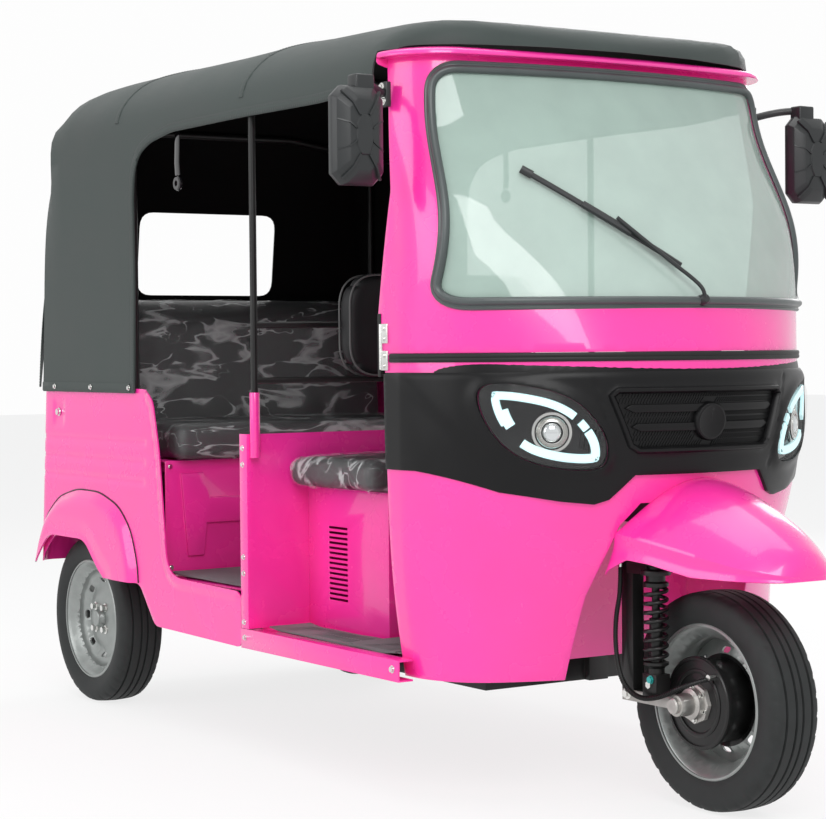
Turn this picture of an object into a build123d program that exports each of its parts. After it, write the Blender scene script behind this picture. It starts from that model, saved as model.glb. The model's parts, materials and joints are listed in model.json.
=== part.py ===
from build123d import *
import os
from functools import lru_cache
from math import cos, radians, sin, tan

os.makedirs("parts", exist_ok=True)

# Auto rickshaw: one steered wheel in front, two wheels at the back, a sheet-metal body with open
# sides and a fabric canopy. Millimetres, +Z up, the ground at z = 0. The vehicle looks along -Y,
# +X is its left side, and the origin lies on the ground under the middle of its length.
# Stations along the vehicle are given as distances behind the front axle.

# Overall plan
nose_reach = 280
wheelbase = 2250
tail_reach = 262
front_axle_y = nose_reach - (nose_reach + wheelbase + tail_reach) / 2
rear_axle_y = front_axle_y + wheelbase


def behind(distance):
    """Row y of a point that lies this far behind the front axle."""
    return front_axle_y + distance


# Fits: the clearance of a seated piece, and the film between two curved skins that lie together
face_gap = 0.3
skin_gap = 0.1

# Sheet metal and body widths
panel = 4
half_width = 560
sill_bottom = 278
driver_floor = 322
passenger_floor = 418
seat_panel_back = 1722
partition_back = 1180
partition_top = 826
post_back = 520
quarter_front = 1664
tub_top = 935
tub_back = 2466
tub_tail = 2520
belt_height = 1028
header_height = 1705

# Wheels
tyre_radius = 247
tyre_width = 134
bead_radius = 168
rim_wall = 5
rear_half_track = 445
drum_radius = 92
backing_radius = 104

# Steering
steering_rake = 17
steering_foot = -40
steering_angle = 35
stem_radius = 19
head_tube_radius = 30
head_tube_low = 600
head_tube_high = 800
leg_x = -118

# Front body sections. Columns: height, centre of the nose, then the corner point and the side
# point of the plan outline as half widths, each with its distance behind the front axle.
FRONT_SECTIONS = [
    (sill_bottom + 7, 205, 400, 300, 512, 470),
    (460, 150, 405, 292, 538, 465),
    (720, 70, 442, 244, 555, 458),
    (belt_height, 45, 450, 238, half_width, 450),
    (1150, 85, 450, 244, half_width, 455),
    (1350, 195, 440, 284, half_width - 5, 480),
    (1560, 305, 420, 380, half_width - 19, 520),
    (header_height, 380, 410, 415, half_width - 32, 548),
]
COWL_ROWS = tuple(FRONT_SECTIONS[:4])
SCREEN_ROWS = tuple(FRONT_SECTIONS[3:])
screen_back = post_back + 40
corner_lean = 0.7


@lru_cache(maxsize=None)
def front_body(rows, inset, back, overrun=0):
    """Solid nose of the body through the plan outlines of these rows, drawn in by inset."""
    with BuildPart() as nose:
        for index, (height, centre, corner_x, corner_y, side_x, side_y) in enumerate(rows):
            if index == 0:
                height -= overrun
            if index == len(rows) - 1:
                height += overrun
            corner = (corner_x - corner_lean * inset, behind(corner_y + corner_lean * inset))
            side = (side_x - inset, behind(side_y))
            with BuildSketch(Plane.XY.offset(height)):
                with BuildLine():
                    front = ThreePointArc((-corner[0], corner[1]), (0, behind(centre + inset)), corner)
                    TangentArc(corner, side, tangent=front % 1)
                    Line(side, (side[0], behind(back)))
                    Line((side[0], behind(back)), (-side[0], behind(back)))
                    Line((-side[0], behind(back)), (-side[0], side[1]))
                    TangentArc((-corner[0], corner[1]), (-side[0], side[1]), tangent=-(front % 0))
                make_face()
        loft()
    return nose.part


def front_skin(rows, outer, inner, back=post_back):
    """Wall of the nose between two insets; a negative inset stands proud of the sheet metal."""
    with BuildPart() as skin:
        add(front_body(rows, outer, back))
        add(front_body(rows, inner, back + 60, overrun=1), mode=Mode.SUBTRACT)
    return skin.part


def front_prism(points, depth=700):
    """Prism through the nose whose outline is given in front view as x and height."""
    with BuildPart() as prism:
        with BuildSketch(Plane.XZ.offset(-behind(depth))):
            with BuildLine():
                Polyline(*points, close=True)
            make_face()
        extrude(amount=depth + 100)
    return prism.part


def side_prism(points, low_x, high_x):
    """Prism across the vehicle whose outline is given in side view as station and height."""
    with BuildPart() as prism:
        with BuildSketch(Plane.YZ.offset(low_x)):
            with BuildLine():
                Polyline(*[(behind(station), height) for station, height in points], close=True)
            make_face()
        extrude(amount=high_x - low_x)
    return prism.part


def block(low, high):
    """Box between two corners, with the second coordinate as a station."""
    with BuildPart() as box:
        with BuildSketch(Plane.XY.offset(low[2])):
            with Locations(((low[0] + high[0]) / 2, behind((low[1] + high[1]) / 2))):
                Rectangle(high[0] - low[0], high[1] - low[1])
        extrude(amount=high[2] - low[2])
    return box.part


def tube_along(points, radius, bend=0.0):
    """Round bar that follows points given as x, station and height, with rounded corners."""
    path = [(x, behind(station), height) for x, station, height in points]
    with BuildPart() as bar:
        with BuildLine() as route:
            if len(path) > 2:
                FilletPolyline(*path, radius=bend)
            else:
                Line(*path)
        with BuildSketch(Plane(origin=route.line @ 0, z_dir=route.line % 0)):
            Circle(radius)
        sweep(path=route.line)
    return bar.part


def rounded_slab(low, high, radius, edge):
    """Padded block with rounded upright corners and softened top and bottom edges."""
    with BuildPart() as slab:
        add(block(low, high))
        fillet(slab.edges().filter_by(Axis.Z), radius)
        fillet(slab.faces().sort_by(Axis.Z)[-1].edges(), edge)
        fillet(slab.faces().sort_by(Axis.Z)[0].edges(), edge * 0.5)
    return slab.part


# Chassis: two box rails that kick up over the rear axle, cross members, and a neck that carries
# the head tube of the steering.
rail_x = 300
rail_width = 40
rail_bottom = 238
rail_height = 62
rail_front = 470
kick_start = 1620
kick_end = 1830
kick_rise = 162
rail_back = 2430
RAIL_OUTLINE = [
    (rail_front, rail_bottom),
    (kick_start, rail_bottom),
    (kick_end, rail_bottom + kick_rise),
    (rail_back, rail_bottom + kick_rise),
    (rail_back, rail_bottom + kick_rise + rail_height),
    (kick_end, rail_bottom + kick_rise + rail_height),
    (kick_start, rail_bottom + rail_height),
    (rail_front, rail_bottom + rail_height),
]
steering_lean = tan(radians(steering_rake))
steering_top = Vector(0, sin(radians(steering_rake)), cos(radians(steering_rake)))


def steering_point(height):
    """Point of the steering axis at this height."""
    return Vector(0, behind(steering_foot + height * steering_lean), height)


def steering_station(height):
    """Station of the steering axis at this height."""
    return steering_foot + height * steering_lean


well_back = 430
well_ceiling = 600
neck_half_width = 28
neck_wall_back = 520

with BuildPart() as chassis_frame:
    for side in (-1, 1):
        add(side_prism(RAIL_OUTLINE, side * rail_x - rail_width / 2, side * rail_x + rail_width / 2))
    # Columns: station and height of the bottom of each cross member
    for station, bottom in [(rail_front, rail_bottom), (820, rail_bottom), (1180, rail_bottom),
                            (1560, rail_bottom), (1900, rail_bottom + kick_rise),
                            (rail_back - rail_width, rail_bottom + kick_rise)]:
        add(block((-rail_x, station, bottom), (rail_x, station + rail_width, bottom + rail_height)))
    # Outriggers that carry the floor and the sills
    for station in (560, 820, 1120, 1230, 1500):
        top = driver_floor if station < partition_back else passenger_floor
        add(block((-half_width + 50, station, rail_bottom + rail_height - 12),
                  (half_width - 50, station + rail_width, driver_floor - panel)))
        if top > driver_floor:
            for side in (-1, 1):
                add(block((side * rail_x - 20, station, rail_bottom + rail_height),
                          (side * rail_x + 20, station + rail_width, passenger_floor - panel)))
    # Neck behind and above the wheel well
    add(side_prism([(rail_front + 10, rail_bottom), (neck_wall_back + 40, rail_bottom),
                    (neck_wall_back + 40, head_tube_high - 60),
                    (steering_station(head_tube_high - 60), head_tube_high - 40),
                    (steering_station(head_tube_low + 30), head_tube_low + 30),
                    (well_back + 20, head_tube_low + 30), (well_back + 20, rail_bottom)],
                   -neck_half_width, neck_half_width))
    with BuildSketch(Plane(origin=steering_point(head_tube_low), z_dir=steering_top)):
        Circle(head_tube_radius)
    extrude(amount=(head_tube_high - head_tube_low) / cos(radians(steering_rake)))
    with BuildSketch(Plane(origin=steering_point(head_tube_low - 100), z_dir=steering_top)):
        Circle(stem_radius + face_gap)
    extrude(amount=head_tube_high - head_tube_low + 300, mode=Mode.SUBTRACT)
chassis_frame.part.label = "chassis_frame"
export_step(chassis_frame.part, "parts/chassis_frame.step")

# Floor: one pressed sheet for the driver, a riser at the partition and a higher one behind it
floor_half = half_width - 44
floor_front = 434
with BuildPart() as floor_pan:
    add(block((-floor_half, floor_front, driver_floor - panel),
              (floor_half, partition_back, driver_floor)))
    add(block((-neck_half_width - 1, floor_front - 1, driver_floor - 50),
              (neck_half_width + 1, neck_wall_back + 41, driver_floor + 50)), mode=Mode.SUBTRACT)
    add(front_skin(COWL_ROWS, -200, panel + 1, post_back), mode=Mode.SUBTRACT)
    add(block((-floor_half, partition_back, driver_floor - panel),
              (floor_half, partition_back + panel, passenger_floor)))
    add(block((-floor_half, partition_back, passenger_floor - panel),
              (floor_half, seat_panel_back, passenger_floor)))
    # Pressed ribs
    for station in (1300, 1400, 1500, 1600):
        add(block((-floor_half + 60, station, passenger_floor),
                  (floor_half - 60, station + 30, passenger_floor + 3)))
    for x in (-460, -420, 420, 460):
        add(block((x - 8, post_back + 60, driver_floor), (x + 8, partition_back - 60, driver_floor + 3)))
floor_pan.part.label = "floor_pan"
export_step(floor_pan.part, "parts/floor_pan.step")

# Cowl: lofted sheet-metal nose, open to the cabin, cut away in front for the steered wheel
arch_half_low = 262
arch_half_high = 196
arch_top = 690
with BuildPart() as front_cowl:
    add(front_skin(COWL_ROWS, 0, panel))
    with BuildSketch(Plane.XZ.offset(-behind(380))):
        with BuildLine():
            Polyline((-arch_half_low, sill_bottom - 20), (-arch_half_low + 22, 480),
                     (-arch_half_high, 640), (-arch_half_high + 40, arch_top),
                     (arch_half_high - 40, arch_top), (arch_half_high, 640),
                     (arch_half_low - 22, 480), (arch_half_low, sill_bottom - 20), close=True)
        make_face()
    extrude(amount=500, mode=Mode.SUBTRACT)
front_cowl.part.label = "front_cowl"
export_step(front_cowl.part, "parts/front_cowl.step")

# Wheel well: a folded pan behind and over the steered wheel, open to the front and below
well_half = 262
with BuildPart() as wheel_well:
    add(side_prism([(well_back, sill_bottom + 20), (well_back, well_ceiling),
                    (170, well_ceiling), (170, well_ceiling + panel),
                    (well_back + panel, well_ceiling + panel), (well_back + panel, sill_bottom + 20)],
                   -well_half, well_half))
    for side in (-1, 1):
        outer = side * well_half
        inner = side * (well_half - panel)
        add(side_prism([(268, sill_bottom + 20), (well_back, sill_bottom + 20),
                        (well_back, well_ceiling), (180, well_ceiling), (200, 520)],
                       min(outer, inner), max(outer, inner)))
    with BuildSketch(Plane(origin=steering_point(head_tube_low - 40), z_dir=steering_top)):
        Circle(head_tube_radius + 4)
    extrude(amount=90, mode=Mode.SUBTRACT)
wheel_well.part.label = "wheel_well"
export_step(wheel_well.part, "parts/wheel_well.step")

# Windscreen panel, with the posts on both sides of the opening
seal_corner = 62
opening_inset = 11
glass_inset = 16
seal_inset = 24
SCREEN_LOW = (545, 1132)
SCREEN_HIGH = (484, 1684)


def screen_prism(inset, depth=800):
    """Prism of the windscreen outline in front view, drawn in by inset."""
    low_x, low_z = SCREEN_LOW
    high_x, high_z = SCREEN_HIGH
    with BuildPart() as prism:
        with BuildSketch(Plane.XZ.offset(-behind(depth))):
            with BuildLine():
                Polyline((-low_x + inset, low_z + inset), (low_x - inset, low_z + inset),
                         (high_x - inset, high_z - inset), (-high_x + inset, high_z - inset), close=True)
            face = make_face()
            fillet(face.vertices(), seal_corner - inset)
        extrude(amount=depth + 100)
    return prism.part


with BuildPart() as windscreen_panel:
    add(front_skin(SCREEN_ROWS, 0, panel, screen_back))
    add(screen_prism(opening_inset), mode=Mode.SUBTRACT)
    # The posts lean back, so the rear edge of the panel is cut to the door line
    add(side_prism([(post_back, belt_height - 10), (post_back + 30, 1090), (post_back - 20, 1400),
                    (post_back + 26, header_height + 10), (post_back + 200, header_height + 10),
                    (post_back + 200, belt_height - 10)], -700, 700), mode=Mode.SUBTRACT)
windscreen_panel.part.label = "windscreen_panel"
export_step(windscreen_panel.part, "parts/windscreen_panel.step")

# Wiper spindle, below the glass
WIPER_PIVOT = (9, 84, 1143)
WIPER_AXIS = (0, -1, 0.3)
wiper_cap_radius = 13

# Rubber seal: a lip that lies on the panel and a rib that fills the gap to the glass
seal_lip = 11
glass_wall = 5
with BuildPart() as windscreen_seal:
    add(front_skin(SCREEN_ROWS, -seal_lip, -skin_gap, screen_back))
    add(screen_prism(0), mode=Mode.INTERSECT)
    add(screen_prism(seal_inset), mode=Mode.SUBTRACT)
with BuildPart() as seal_rib:
    add(front_skin(SCREEN_ROWS, -1, glass_wall + 1, screen_back))
    add(screen_prism(opening_inset + skin_gap), mode=Mode.INTERSECT)
    add(screen_prism(glass_inset), mode=Mode.SUBTRACT)
with BuildPart() as windscreen_rubber:
    add(windscreen_seal.part)
    add(seal_rib.part)
    # The lower lip is cut away round the wiper's spindle
    with BuildSketch(Plane(origin=(WIPER_PIVOT[0], behind(WIPER_PIVOT[1]), WIPER_PIVOT[2]),
                           z_dir=WIPER_AXIS)):
        Circle(wiper_cap_radius + 1)
    extrude(amount=40, both=True, mode=Mode.SUBTRACT)
windscreen_rubber.part.label = "windscreen_seal"
export_step(windscreen_rubber.part, "parts/windscreen_seal.step")

with BuildPart() as windscreen:
    add(front_skin(SCREEN_ROWS, 0, glass_wall, screen_back))
    add(screen_prism(glass_inset + skin_gap), mode=Mode.INTERSECT)
windscreen.part.label = "windscreen"
export_step(windscreen.part, "parts/windscreen.step")

# Black rubber strip round the belt line
strip_height = 20
strip_proud = 6
with BuildPart() as belt_strip:
    add(front_skin(COWL_ROWS, -strip_proud, -skin_gap, post_back - 24))
    add(block((-700, -100, belt_height - strip_height), (700, post_back, belt_height)), mode=Mode.INTERSECT)
belt_strip.part.label = "belt_strip"
export_step(belt_strip.part, "parts/belt_strip.step")

# Black plastic mask across the nose, with a notch for the mudguard. Half outline in front view.
trim_proud = 10
TRIM_HALF = [(0, 985), (620, 985), (620, 768), (548, 764), (440, 719), (330, 698), (262, 690),
             (232, 700), (181, 754), (0, 754)]
LAMP_OUTLINE = [(484, 952), (440, 966), (318, 934), (252, 855), (240, 792), (262, 764), (352, 770),
                (424, 800), (470, 868)]
GRILLE_OUTLINE = [(0, 940), (232, 940), (240, 930), (192, 822), (172, 812), (0, 812)]


def both_sides(half):
    """Whole outline from its right half and the half's mirror image."""
    return half + [(-x, z) for x, z in reversed(half) if x > 0]


def mirrored(outline, side):
    """Outline on the side given by the sign."""
    return [(side * x, z) for x, z in outline]


with BuildPart() as front_trim:
    add(front_skin(COWL_ROWS, -trim_proud, -skin_gap, post_back - 24))
    add(front_prism(both_sides(TRIM_HALF)), mode=Mode.INTERSECT)
    for side in (-1, 1):
        add(front_prism(mirrored(LAMP_OUTLINE, side), 500), mode=Mode.SUBTRACT)
    add(front_prism(both_sides(GRILLE_OUTLINE), 300), mode=Mode.SUBTRACT)
front_trim.part.label = "front_trim"
export_step(front_trim.part, "parts/front_trim.step")

# Headlamps: bulging lens units that fill the openings of the mask
lamp_proud = 24
with BuildPart() as headlamps:
    for side in (-1, 1):
        with BuildPart(mode=Mode.PRIVATE) as lamp:
            add(front_skin(COWL_ROWS, -lamp_proud, -skin_gap, post_back - 24))
            add(front_prism(mirrored(LAMP_OUTLINE, side), 500), mode=Mode.INTERSECT)
        add(lamp.part)
headlamps.part.label = "headlamps"
export_step(headlamps.part, "parts/headlamps.step")

# Grille: a mesh plate, two bars and a plain disc
bar_half = 205
grille_disc_radius = 44
with BuildPart() as grille:
    add(front_skin(COWL_ROWS, -4, -skin_gap, post_back - 24))
    add(front_prism(both_sides(GRILLE_OUTLINE), 300), mode=Mode.INTERSECT)
    # Columns: height of the bar's middle and its half length
    for height, half_length in [(902, bar_half), (860, bar_half - 16)]:
        with BuildPart(mode=Mode.PRIVATE) as bar:
            add(front_skin(COWL_ROWS, -12, -3, post_back - 24))
            add(front_prism([(-half_length, height - 9), (half_length, height - 9),
                             (half_length - 6, height + 9), (-half_length + 6, height + 9)], 300),
                mode=Mode.INTERSECT)
        add(bar.part)
    with BuildSketch(Plane.XZ.offset(-behind(60))):
        with Locations((0, 872)):
            Circle(grille_disc_radius)
    extrude(amount=32)
    add(front_body(COWL_ROWS, -skin_gap, post_back), mode=Mode.SUBTRACT)
grille.part.label = "grille"
export_step(grille.part, "parts/grille.step")

# Wiper: a pivot below the glass, a bent arm and a blade that lies across the screen
WIPER_KNEE = (-6, 78, 1180)
WIPER_HOLD = (-165, 172, 1330)
BLADE_ENDS = [(-331, 268, 1437), (-24, 98, 1222)]
with BuildPart() as wiper:
    with BuildSketch(Plane(origin=(WIPER_PIVOT[0], behind(WIPER_PIVOT[1]), WIPER_PIVOT[2]),
                           z_dir=WIPER_AXIS)):
        Circle(wiper_cap_radius)
    extrude(amount=24)
    add(tube_along([(WIPER_PIVOT[0], WIPER_PIVOT[1] - 18, WIPER_PIVOT[2]), WIPER_KNEE, WIPER_HOLD], 5, 10))
    add(tube_along([(x, station - 6, z) for x, station, z in BLADE_ENDS], 6))
    add(front_body(SCREEN_ROWS, -skin_gap, screen_back), mode=Mode.SUBTRACT)
wiper.part.label = "wiper"
export_step(wiper.part, "parts/wiper.step")

# Roof header: pressed brim over the windscreen that the canopy is drawn over
brim_reach = 30
brim_height = 20
with BuildPart() as roof_header:
    brim_plan = FRONT_SECTIONS[-1][1:]
    add(front_skin(((header_height,) + brim_plan, (header_height + brim_height,) + brim_plan),
                   -brim_reach, 44, post_back + 60))
roof_header.part.label = "roof_header"
export_step(roof_header.part, "parts/roof_header.step")

# Side sheet: the passenger threshold, the rear quarter and the rear panel in one pressing that
# widens a little towards its lower edge
quarter_sill_front = partition_back + 36
rear_corner = 60
SIDE_OUTLINE = [
    (quarter_sill_front, sill_bottom), (1706, sill_bottom + 4), (1800, 392), (1990, 392), (2036, 421),
    (2120, 496), (2366, 496), (2413, 463), (2476, 406), (2600, 400), (2600, tub_top + 5),
    (1812, tub_top + 5), (1745, tub_top), (1700, 905), (quarter_front, 770), (1625, 470),
    (1600, 440), (1560, passenger_floor + 10), (quarter_sill_front, passenger_floor + 4),
]


def tub_body(inset):
    """Solid of the rear body with rounded rear corners, drawn in by inset."""
    with BuildPart() as tub:
        for height, back in [(sill_bottom, tub_tail), (tub_top, tub_back)]:
            with BuildSketch(Plane.XY.offset(height)):
                with BuildLine():
                    x = half_width - inset
                    end = behind(back - inset)
                    radius = rear_corner - inset
                    Line((-x, behind(1100)), (-x, end - radius))
                    RadiusArc((-x, end - radius), (-x + radius, end), radius)
                    Line((-x + radius, end), (x - radius, end))
                    RadiusArc((x - radius, end), (x, end - radius), radius)
                    Line((x, end - radius), (x, behind(1100)))
                    Line((x, behind(1100)), (-x, behind(1100)))
                make_face()
        loft(ruled=True)
    return tub.part


with BuildPart() as rear_body:
    add(tub_body(0))
    add(tub_body(panel), mode=Mode.SUBTRACT)
    add(side_prism(SIDE_OUTLINE, -700, 700), mode=Mode.INTERSECT)
rear_body.part.label = "rear_body"
export_step(rear_body.part, "parts/rear_body.step")

# Rear fenders: pressed arches that stand proud of the side sheet
fender_proud = 24
FENDER_OUTER = [(1806, 394), (1812, 450), (1850, 540), (1925, 602), (2050, 636), (2200, 638),
                (2330, 610), (2420, 552), (2480, 470), (2512, 400)]
FENDER_INNER = [(2476, 406), (2413, 463), (2366, 496), (2120, 496), (2036, 421), (1990, 394)]
with BuildPart() as rear_fenders:
    for side in (-1, 1):
        inner_x = side * (half_width + face_gap)
        outer_x = side * (half_width + fender_proud)
        with BuildPart(mode=Mode.PRIVATE) as fender:
            add(side_prism(FENDER_OUTER + FENDER_INNER, min(inner_x, outer_x), max(inner_x, outer_x)))
            crown = fender.faces().sort_by(Axis.X)[0 if side < 0 else -1]
            chamfer(crown.outer_wire().edges().filter_by(lambda edge: edge.length > 40), 6)
        add(fender.part)
rear_fenders.part.label = "rear_fenders"
export_step(rear_fenders.part, "parts/rear_fenders.step")

# Driver's sills below the door openings
sill_depth = 40
with BuildPart() as sills:
    for side in (-1, 1):
        wall = (side * half_width, side * (half_width - panel))
        deep = (side * half_width, side * (half_width - sill_depth))
        front_end = post_back - 45
        add(block((min(wall), front_end, sill_bottom), (max(wall), quarter_sill_front, driver_floor + 6)))
        add(block((min(deep), front_end, sill_bottom), (max(deep), quarter_sill_front, sill_bottom + panel)))
        add(block((min(deep), front_end, driver_floor + 2),
                  (max(deep), partition_back - 6, driver_floor + 6)))
    add(front_body(COWL_ROWS, -face_gap, post_back), mode=Mode.SUBTRACT)
sills.part.label = "sills"
export_step(sills.part, "parts/sills.step")

# Partition behind the driver, with flanges folded back along the door edges and a socket for the
# pole on each side
flange = 34
socket_radius = 13
pole_radius = 9
pole_x = half_width - 18
pole_station = partition_back - panel - socket_radius + 1
with BuildPart() as partition:
    add(block((-half_width, partition_back - panel, driver_floor + 7),
              (half_width, partition_back, partition_top)))
    for side in (-1, 1):
        fold = (side * half_width, side * (half_width - panel))
        add(block((min(fold), partition_back - panel, driver_floor + 7),
                  (max(fold), partition_back + flange, partition_top)))
        with BuildSketch(Plane.XY.offset(partition_top - 60)):
            with Locations((side * pole_x, behind(pole_station))):
                Circle(socket_radius)
        extrude(amount=166)
    for side in (-1, 1):
        with BuildSketch(Plane.XY.offset(partition_top - 80)):
            with Locations((side * pole_x, behind(pole_station))):
                Circle(pole_radius + face_gap)
        extrude(amount=200, mode=Mode.SUBTRACT)
partition.part.label = "partition"
export_step(partition.part, "parts/partition.step")

# Guard rails: two upright poles in the partition's sockets with two rails between them
canopy_rail_height = 1640
bow_radius = 11
rail_tube_radius = 8
with BuildPart() as guard_rails:
    for side in (-1, 1):
        with BuildSketch(Plane.XY.offset(partition_top - 60)):
            with Locations((side * pole_x, behind(pole_station))):
                Circle(pole_radius)
        extrude(amount=canopy_rail_height - rail_tube_radius - face_gap - partition_top + 60)
    for height in (962, 1104):
        add(tube_along([(-pole_x, pole_station, height), (pole_x, pole_station, height)], 8))
guard_rails.part.label = "guard_rails"
export_step(guard_rails.part, "parts/guard_rails.step")

# Driver's seat: sheet-metal box with louvres, cushion and backrest
seat_box_half = 380
seat_box_front = 792
seat_box_top = 688
with BuildPart() as driver_seat_box:
    add(block((-seat_box_half, seat_box_front, driver_floor),
              (seat_box_half, partition_back - panel, seat_box_top)))
    add(block((-seat_box_half + panel, seat_box_front + panel, driver_floor - 1),
              (seat_box_half - panel, partition_back, seat_box_top - panel)), mode=Mode.SUBTRACT)
    # Louvres in the side walls
    for side in (-1, 1):
        for index in range(15):
            low = 402 + index * 13
            add(block((min(side * 370, side * 390), 985, low), (max(side * 370, side * 390), 1075, low + 6)),
                mode=Mode.SUBTRACT)
driver_seat_box.part.label = "driver_seat_box"
export_step(driver_seat_box.part, "parts/driver_seat_box.step")

with BuildPart() as driver_cushion:
    add(rounded_slab((-455, 762, seat_box_top + face_gap), (455, 1170, seat_box_top + 88), 45, 24))
driver_cushion.part.label = "driver_cushion"
export_step(driver_cushion.part, "parts/driver_cushion.step")

backrest_back = pole_station - 8 - face_gap
with BuildPart() as driver_backrest:
    with BuildSketch(Plane.XZ.offset(-behind(backrest_back))):
        with Locations((0, 1102)):
            RectangleRounded(600, 268, 88)
    extrude(amount=62)
    fillet(driver_backrest.faces().sort_by(Axis.Y)[0].edges(), 26)
driver_backrest.part.label = "driver_backrest"
export_step(driver_backrest.part, "parts/driver_backrest.step")

# Passenger's seat: pressed front panel with a shelf, cushion and backrest
shelf_height = 736
with BuildPart() as passenger_seat_base:
    add(block((-half_width + 44, seat_panel_back, passenger_floor),
              (half_width - 44, seat_panel_back + panel, shelf_height)))
    add(block((-half_width + 44, seat_panel_back, shelf_height - panel),
              (half_width - 44, 2390, shelf_height)))
    # Raised stepped panels on both halves of the front
    for side in (-1, 1):
        points = [(side * 470, 700), (side * 400, 700), (side * 380, 630), (side * 150, 630),
                  (side * 150, 560), (side * 390, 560), (side * 400, 470), (side * 450, 470)]
        with BuildSketch(Plane.XZ.offset(-behind(seat_panel_back))):
            with BuildLine():
                Polyline(*points, close=True)
            make_face()
        extrude(amount=8)
passenger_seat_base.part.label = "passenger_seat_base"
export_step(passenger_seat_base.part, "parts/passenger_seat_base.step")

with BuildPart() as passenger_cushion:
    add(rounded_slab((-505, 1662, shelf_height + face_gap), (505, 2200, shelf_height + 108), 45, 28))
passenger_cushion.part.label = "passenger_cushion"
export_step(passenger_cushion.part, "parts/passenger_cushion.step")

with BuildPart() as passenger_backrest:
    add(side_prism([(2202, shelf_height + face_gap), (2330, shelf_height + face_gap),
                    (2384, 1200), (2312, 1206),
                    (2240, 1150), (2202, 880)], -505, 505))
    fillet(passenger_backrest.edges().filter_by(Axis.X), 18)
passenger_backrest.part.label = "passenger_backrest"
export_step(passenger_backrest.part, "parts/passenger_backrest.step")

# Battery pack: plain mass below the passenger's seat
with BuildPart() as battery_block:
    add(block((-270, 1840, rail_bottom + kick_rise + rail_height), (270, 2230, shelf_height - 60)))
battery_block.part.label = "battery_block"
export_step(battery_block.part, "parts/battery_block.step")

# Dashboard shelf inside the nose, with an instrument pod
with BuildPart() as dashboard:
    add(front_body(COWL_ROWS, panel + face_gap, post_back))
    add(block((-700, -100, 960), (700, 360, 1010)), mode=Mode.INTERSECT)
with BuildPart() as instrument_pod:
    with BuildSketch(Plane.XZ.offset(-behind(205))):
        with Locations((0, 1040)):
            RectangleRounded(220, 84, 26)
    extrude(amount=80)
with BuildPart() as dash:
    add(dashboard.part)
    add(instrument_pod.part)
    # Passage for the steering stem
    with BuildSketch(Plane(origin=steering_point(930), z_dir=steering_top)):
        Circle(stem_radius + 12)
    extrude(amount=100, mode=Mode.SUBTRACT)
dash.part.label = "dashboard"
export_step(dash.part, "parts/dashboard.step")

# Rubber mats
mat_wall = 5
with BuildPart() as floor_mats:
    for side in (-1, 1):
        inner = side * 395
        outer = side * 500
        add(block((min(inner, outer), 560, driver_floor + 3),
                  (max(inner, outer), 1150, driver_floor + 3 + mat_wall)))
    add(block((-500, 1240, passenger_floor + 3),
              (500, seat_panel_back - 10, passenger_floor + 3 + mat_wall)))
floor_mats.part.label = "floor_mats"
export_step(floor_mats.part, "parts/floor_mats.step")

# Front mudguard: a beak over the wheel, lofted through arches and cut to its lower edge
# Columns: station, half width, height of the shoulder, height of the crown
MUDGUARD_SECTIONS = [
    (215, 212, 630, 735),
    (60, 196, 612, 742),
    (-110, 158, 580, 690),
    (-215, 118, 560, 634),
    (-nose_reach, 62, 548, 584),
]
guard_base = 470
guard_wall = 5
GUARD_CUT = [(225, 400), (225, 488), (190, 500), (150, 540), (95, 566),
             (30, 560), (-80, 538), (-290, 536), (-290, 400)]


def mudguard_body(inset):
    """Solid under the mudguard's outer surface, drawn in by inset."""
    with BuildPart() as beak:
        for station, half, shoulder, crown in MUDGUARD_SECTIONS:
            x = half - inset
            with BuildSketch(Plane.XZ.offset(-behind(station + (inset if station < 0 else 0)))):
                with BuildLine():
                    Line((-x, guard_base - inset * 2), (-x, shoulder))
                    ThreePointArc((-x, shoulder), (0, crown - inset), (x, shoulder))
                    Line((x, shoulder), (x, guard_base - inset * 2))
                    Line((x, guard_base - inset * 2), (-x, guard_base - inset * 2))
                make_face()
        loft()
    return beak.part


with BuildPart() as front_mudguard:
    add(mudguard_body(0))
    add(mudguard_body(guard_wall), mode=Mode.SUBTRACT)
    add(side_prism(GUARD_CUT, -300, 300), mode=Mode.SUBTRACT)
    add(front_body(COWL_ROWS, -face_gap, post_back), mode=Mode.SUBTRACT)
front_mudguard.part.label = "front_mudguard"
export_step(front_mudguard.part, "parts/front_mudguard.step")

# Mirrors: faceted housings on short brackets at the tops of the posts
mirror_low = (615, 400, 1402)
mirror_high = (745, 458, 1624)
with BuildPart() as mirrors:
    for side in (-1, 1):
        with BuildPart(mode=Mode.PRIVATE) as housing:
            centre_x = side * (mirror_low[0] + mirror_high[0]) / 2
            centre_z = (mirror_low[2] + mirror_high[2]) / 2
            with BuildSketch(Plane.XZ.offset(-behind(mirror_high[1]))):
                with Locations((centre_x, centre_z)):
                    face = Rectangle(mirror_high[0] - mirror_low[0], mirror_high[2] - mirror_low[2])
                chamfer(face.vertices(), 24)
            extrude(amount=mirror_high[1] - mirror_low[1])
            chamfer(housing.faces().sort_by(Axis.Y)[0].edges(), 16)
        add(housing.part)
        add(tube_along([(side * 555, 520, 1618), (side * 610, 500, 1640), (side * 660, 440, 1640),
                        (side * 660, 430, 1610)], 9, 14))
        add(block((min(side * 525, side * 566), 500, 1590), (max(side * 525, side * 566), 528, 1645)))
    add(front_body(SCREEN_ROWS, -face_gap, screen_back), mode=Mode.SUBTRACT)
mirrors.part.label = "mirrors"
export_step(mirrors.part, "parts/mirrors.step")

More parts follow.
